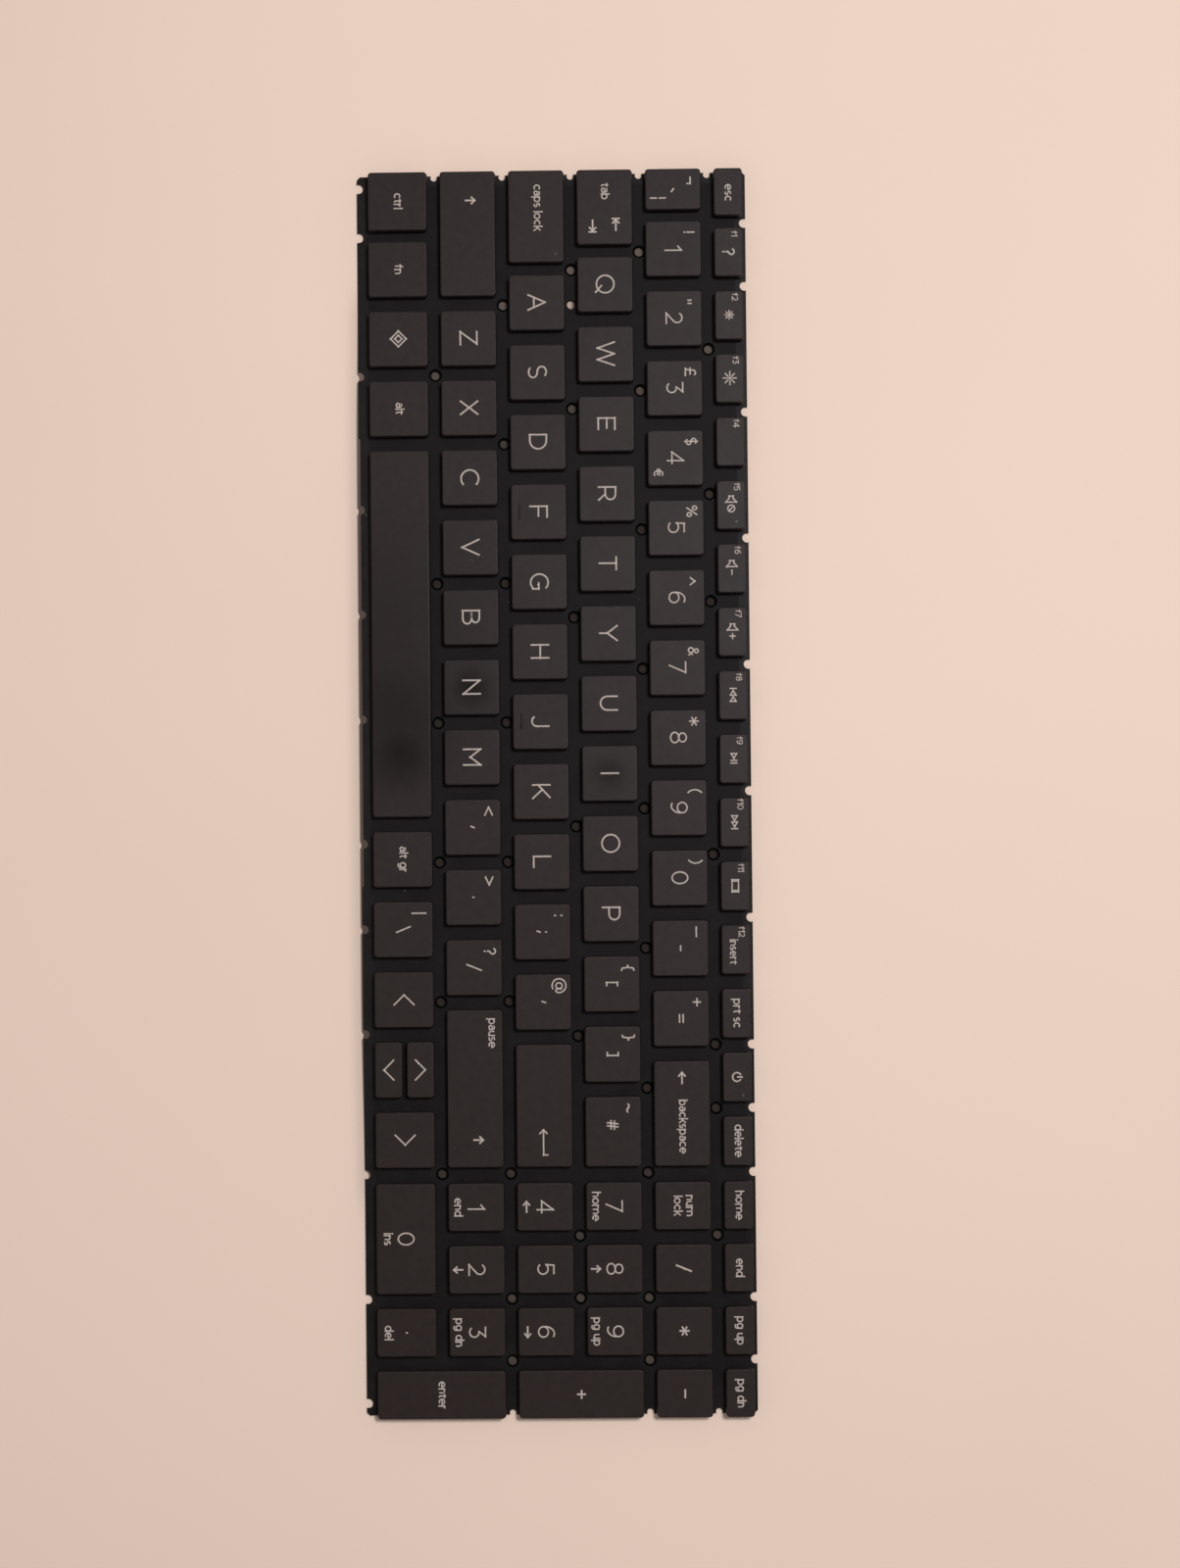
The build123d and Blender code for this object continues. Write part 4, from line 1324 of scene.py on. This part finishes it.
class KEYBOARD_OT_sheet(bpy.types.Operator):
    """Makes the dark film between the keys, with its round windows"""

    bl_idname = "keyboard.sheet"
    bl_label = "Sheet"

    def execute(self, context):
        rings = solid_boxes("membrane_sheet", walls_only=True)
        windows = [(low, high) for low, high in rings if high.x - low.x < 10 * MM]
        if not windows:
            raise RuntimeError("The sheet has no windows")
        thick = SHEET_HIGH.z - SHEET_LOW.z
        middle = (SHEET_LOW + SHEET_HIGH) / 2
        sheet = new_block(
            SHEET_HIGH.x - SHEET_LOW.x, SHEET_HIGH.y - SHEET_LOW.y, thick, middle.x, middle.y, SHEET_LOW.z)
        in_edit(sheet)
        select(sheet, edges=lambda edge: abs(edge.verts[0].co.z - edge.verts[1].co.z) > thick / 2)
        bpy.ops.mesh.bevel(offset=1.5 * MM, segments=4, affect="EDGES")
        close_edit()
        sizes = settings("keyboard_sheet")
        punches = []
        for low, high in windows:
            place = (low + high) / 2
            plain = (place.xy - plain_hole()).length < MM
            bpy.ops.object.select_all(action="DESELECT")
            bpy.ops.mesh.primitive_cylinder_add(
                vertices=24, radius=sizes.plain_window if plain else sizes.window, depth=4 * thick,
                location=(place.x, place.y, middle.z))
            bpy.ops.object.transform_apply(location=True, rotation=True, scale=True)
            punches.append(bpy.context.object)
        punch = joined("punch", punches)
        start_object(sheet)
        cut = sheet.modifiers.new("windows", "BOOLEAN")
        cut.operation = "DIFFERENCE"
        cut.solver = "EXACT"
        cut.object = punch
        bpy.ops.object.modifier_apply(modifier=cut.name)
        remove(punch)
        sheet.name = "membrane_film"
        sheet.data.name = "membrane_film"
        sheet.data.materials.clear()
        sheet.data.materials.append(sheet_film())
        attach(sheet, "base")
        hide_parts("membrane_sheet")
        return {"FINISHED"}


class KEYBOARD_OT_pressing_keys(bpy.types.Operator):
    """Makes the keys that press, each with its printing"""

    bl_idname = "keyboard.pressing_keys"
    bl_label = "Pressing Keys"

    def execute(self, context):
        for name in PRESSING_KEYS:
            piece = joined(f"cap_{name}", dressed_key(name))
            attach(piece, f"key_{name}")
            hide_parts(f"key_{name}")
        return {"FINISHED"}


class KEYBOARD_OT_function_row(bpy.types.Operator):
    """Makes the row of half-depth keys along the back"""

    bl_idname = "keyboard.function_row"
    bl_label = "Function Row"

    def execute(self, context):
        dressed_group("caps_function_row", FUNCTION_KEYS, "function_row_keys")
        return {"FINISHED"}


class KEYBOARD_OT_number_pad(bpy.types.Operator):
    """Makes the number pad's keys"""

    bl_idname = "keyboard.number_pad"
    bl_label = "Number Pad"

    def execute(self, context):
        dressed_group("caps_number_pad", NUMBER_PAD_KEYS, "number_pad_keys")
        return {"FINISHED"}


class KEYBOARD_OT_edge_keys(bpy.types.Operator):
    """Makes the shift, lock, control and arrow keys"""

    bl_idname = "keyboard.edge_keys"
    bl_label = "Edge Keys"

    def execute(self, context):
        dressed_group("caps_edge_keys", EDGE_KEYS, "edge_keys")
        return {"FINISHED"}


class KEYBOARD_OT_mechanisms(bpy.types.Operator):
    """Makes the domes, links and wires under the keys"""

    bl_idname = "keyboard.mechanisms"
    bl_label = "Mechanisms"

    def execute(self, context):
        stands_for = ["rubber_domes", "scissor_outer_links", "scissor_inner_links"]
        for name in PRESSING_KEYS:
            parts = mechanism_for(name)
            if name in WIRED_KEYS:
                parts.append(wire_for(name, True))
            piece = joined(f"mechanism_{name}", parts)
            x, y = middle_of(name)
            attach(piece, "base")
            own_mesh(piece)
            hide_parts(*stands_for, *(["stabiliser_bars"] if name in WIRED_KEYS else []))
        fixed = [part for name in FUNCTION_KEYS + NUMBER_PAD_KEYS + EDGE_KEYS for part in mechanism_for(name)]
        for name in ["left_shift", "right_shift", "pad_0"]:
            fixed.append(wire_for(name, True))
        for name in ["pad_add", "pad_enter"]:
            fixed.append(wire_for(name, False))
        piece = joined("mechanism_fixed_keys", fixed)
        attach(piece, "base")
        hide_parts(*stands_for, "stabiliser_bars")
        for shape in MECHANISM_SHAPES.values():
            for part in shape if isinstance(shape, list) else [shape]:
                remove(part)
        for shape in CAP_SHAPES.values():
            remove(shape)
        MECHANISM_SHAPES.clear()
        CAP_SHAPES.clear()
        return {"FINISHED"}


class KEYBOARD_OT_stage(bpy.types.Operator):
    """Sets the table, the light and the camera"""

    bl_idname = "keyboard.stage"
    bl_label = "Stage"

    def execute(self, context):
        stage = settings("keyboard_stage")
        scene = context.scene
        scene.view_settings.view_transform = "Standard"
        bpy.ops.object.select_all(action="DESELECT")
        bpy.ops.mesh.primitive_plane_add(size=stage.table_size, location=(0, 0, -stage.table_drop))
        floor = context.object
        floor.name = "table"
        floor.data.materials.append(table_with_painted_shade())
        light = bpy.data.lights.new("window_light", "AREA")
        light.energy = stage.key_power
        light.shape = "DISK"
        light.size = stage.lamp_size
        lamp_object = bpy.data.objects.new("window_light", light)
        scene.collection.objects.link(lamp_object)
        lamp_object.location = stage.lamp_place
        aim = -lamp_object.location
        lamp_object.rotation_euler = aim.to_track_quat("-Z", "Y").to_euler()
        scene.world = bpy.data.worlds.new("room")
        room = Finish(scene.world, "Background")
        glow = times(stage.sky, stage.sky_colour)
        room.set(Color=room.mix(glow, stage.floor_colour, room.in_sight()), Strength=1.0)
        view = bpy.data.cameras.new("photo_view")
        view.sensor_fit = "VERTICAL"
        view.sensor_height = 36.0
        view.lens = stage.lens
        view.clip_start = 0.01
        view.clip_end = 20.0
        camera = bpy.data.objects.new("photo_view", view)
        scene.collection.objects.link(camera)
        upright = Matrix(((0, 1, 0), (-1, 0, 0), (0, 0, 1)))
        turn = Vector(stage.turn)
        axes = Matrix.Rotation(turn.length, 3, turn.normalized()) @ upright
        camera.matrix_world = Matrix.Translation(stage.place) @ axes.transposed().to_4x4()
        scene.camera = camera
        return {"FINISHED"}


class KEYBOARD_PT_panel(bpy.types.Panel):
    """Lists the keyboard's pieces and settings"""

    bl_label = "Keyboard"
    bl_idname = "KEYBOARD_PT_panel"
    bl_space_type = "VIEW_3D"
    bl_region_type = "UI"
    bl_category = "Keyboard"

    def draw(self, context):
        for operator in OPERATORS:
            self.layout.operator(operator.bl_idname)
        for name, group in SETTINGS.items():
            box = self.layout.box()
            box.label(text=group.__doc__)
            for key in group.__annotations__:
                box.prop(getattr(context.scene, name), key)


SETTINGS = {
    "keyboard_keycap": KeycapSettings,
    "keyboard_legend": LegendSettings,
    "keyboard_mechanism": MechanismSettings,
    "keyboard_sheet": SheetSettings,
    "keyboard_stage": StageSettings,
}
OPERATORS = [
    KEYBOARD_OT_plate,
    KEYBOARD_OT_sheet,
    KEYBOARD_OT_pressing_keys,
    KEYBOARD_OT_function_row,
    KEYBOARD_OT_number_pad,
    KEYBOARD_OT_edge_keys,
    KEYBOARD_OT_mechanisms,
    KEYBOARD_OT_stage,
]


def register():
    for group in SETTINGS.values():
        bpy.utils.register_class(group)
    for operator in OPERATORS:
        bpy.utils.register_class(operator)
    bpy.utils.register_class(KEYBOARD_PT_panel)
    for name, group in SETTINGS.items():
        setattr(bpy.types.Scene, name, PointerProperty(type=group))


def unregister():
    for name in SETTINGS:
        delattr(bpy.types.Scene, name)
    bpy.utils.unregister_class(KEYBOARD_PT_panel)
    for operator in reversed(OPERATORS):
        bpy.utils.unregister_class(operator)
    for group in reversed(list(SETTINGS.values())):
        bpy.utils.unregister_class(group)


def main():
    register()
    bpy.ops.keyboard.plate()
    bpy.ops.keyboard.sheet()
    bpy.ops.keyboard.pressing_keys()
    bpy.ops.keyboard.function_row()
    bpy.ops.keyboard.number_pad()
    bpy.ops.keyboard.edge_keys()
    bpy.ops.keyboard.mechanisms()
    bpy.ops.keyboard.stage()


if __name__ == "__main__":
    main()
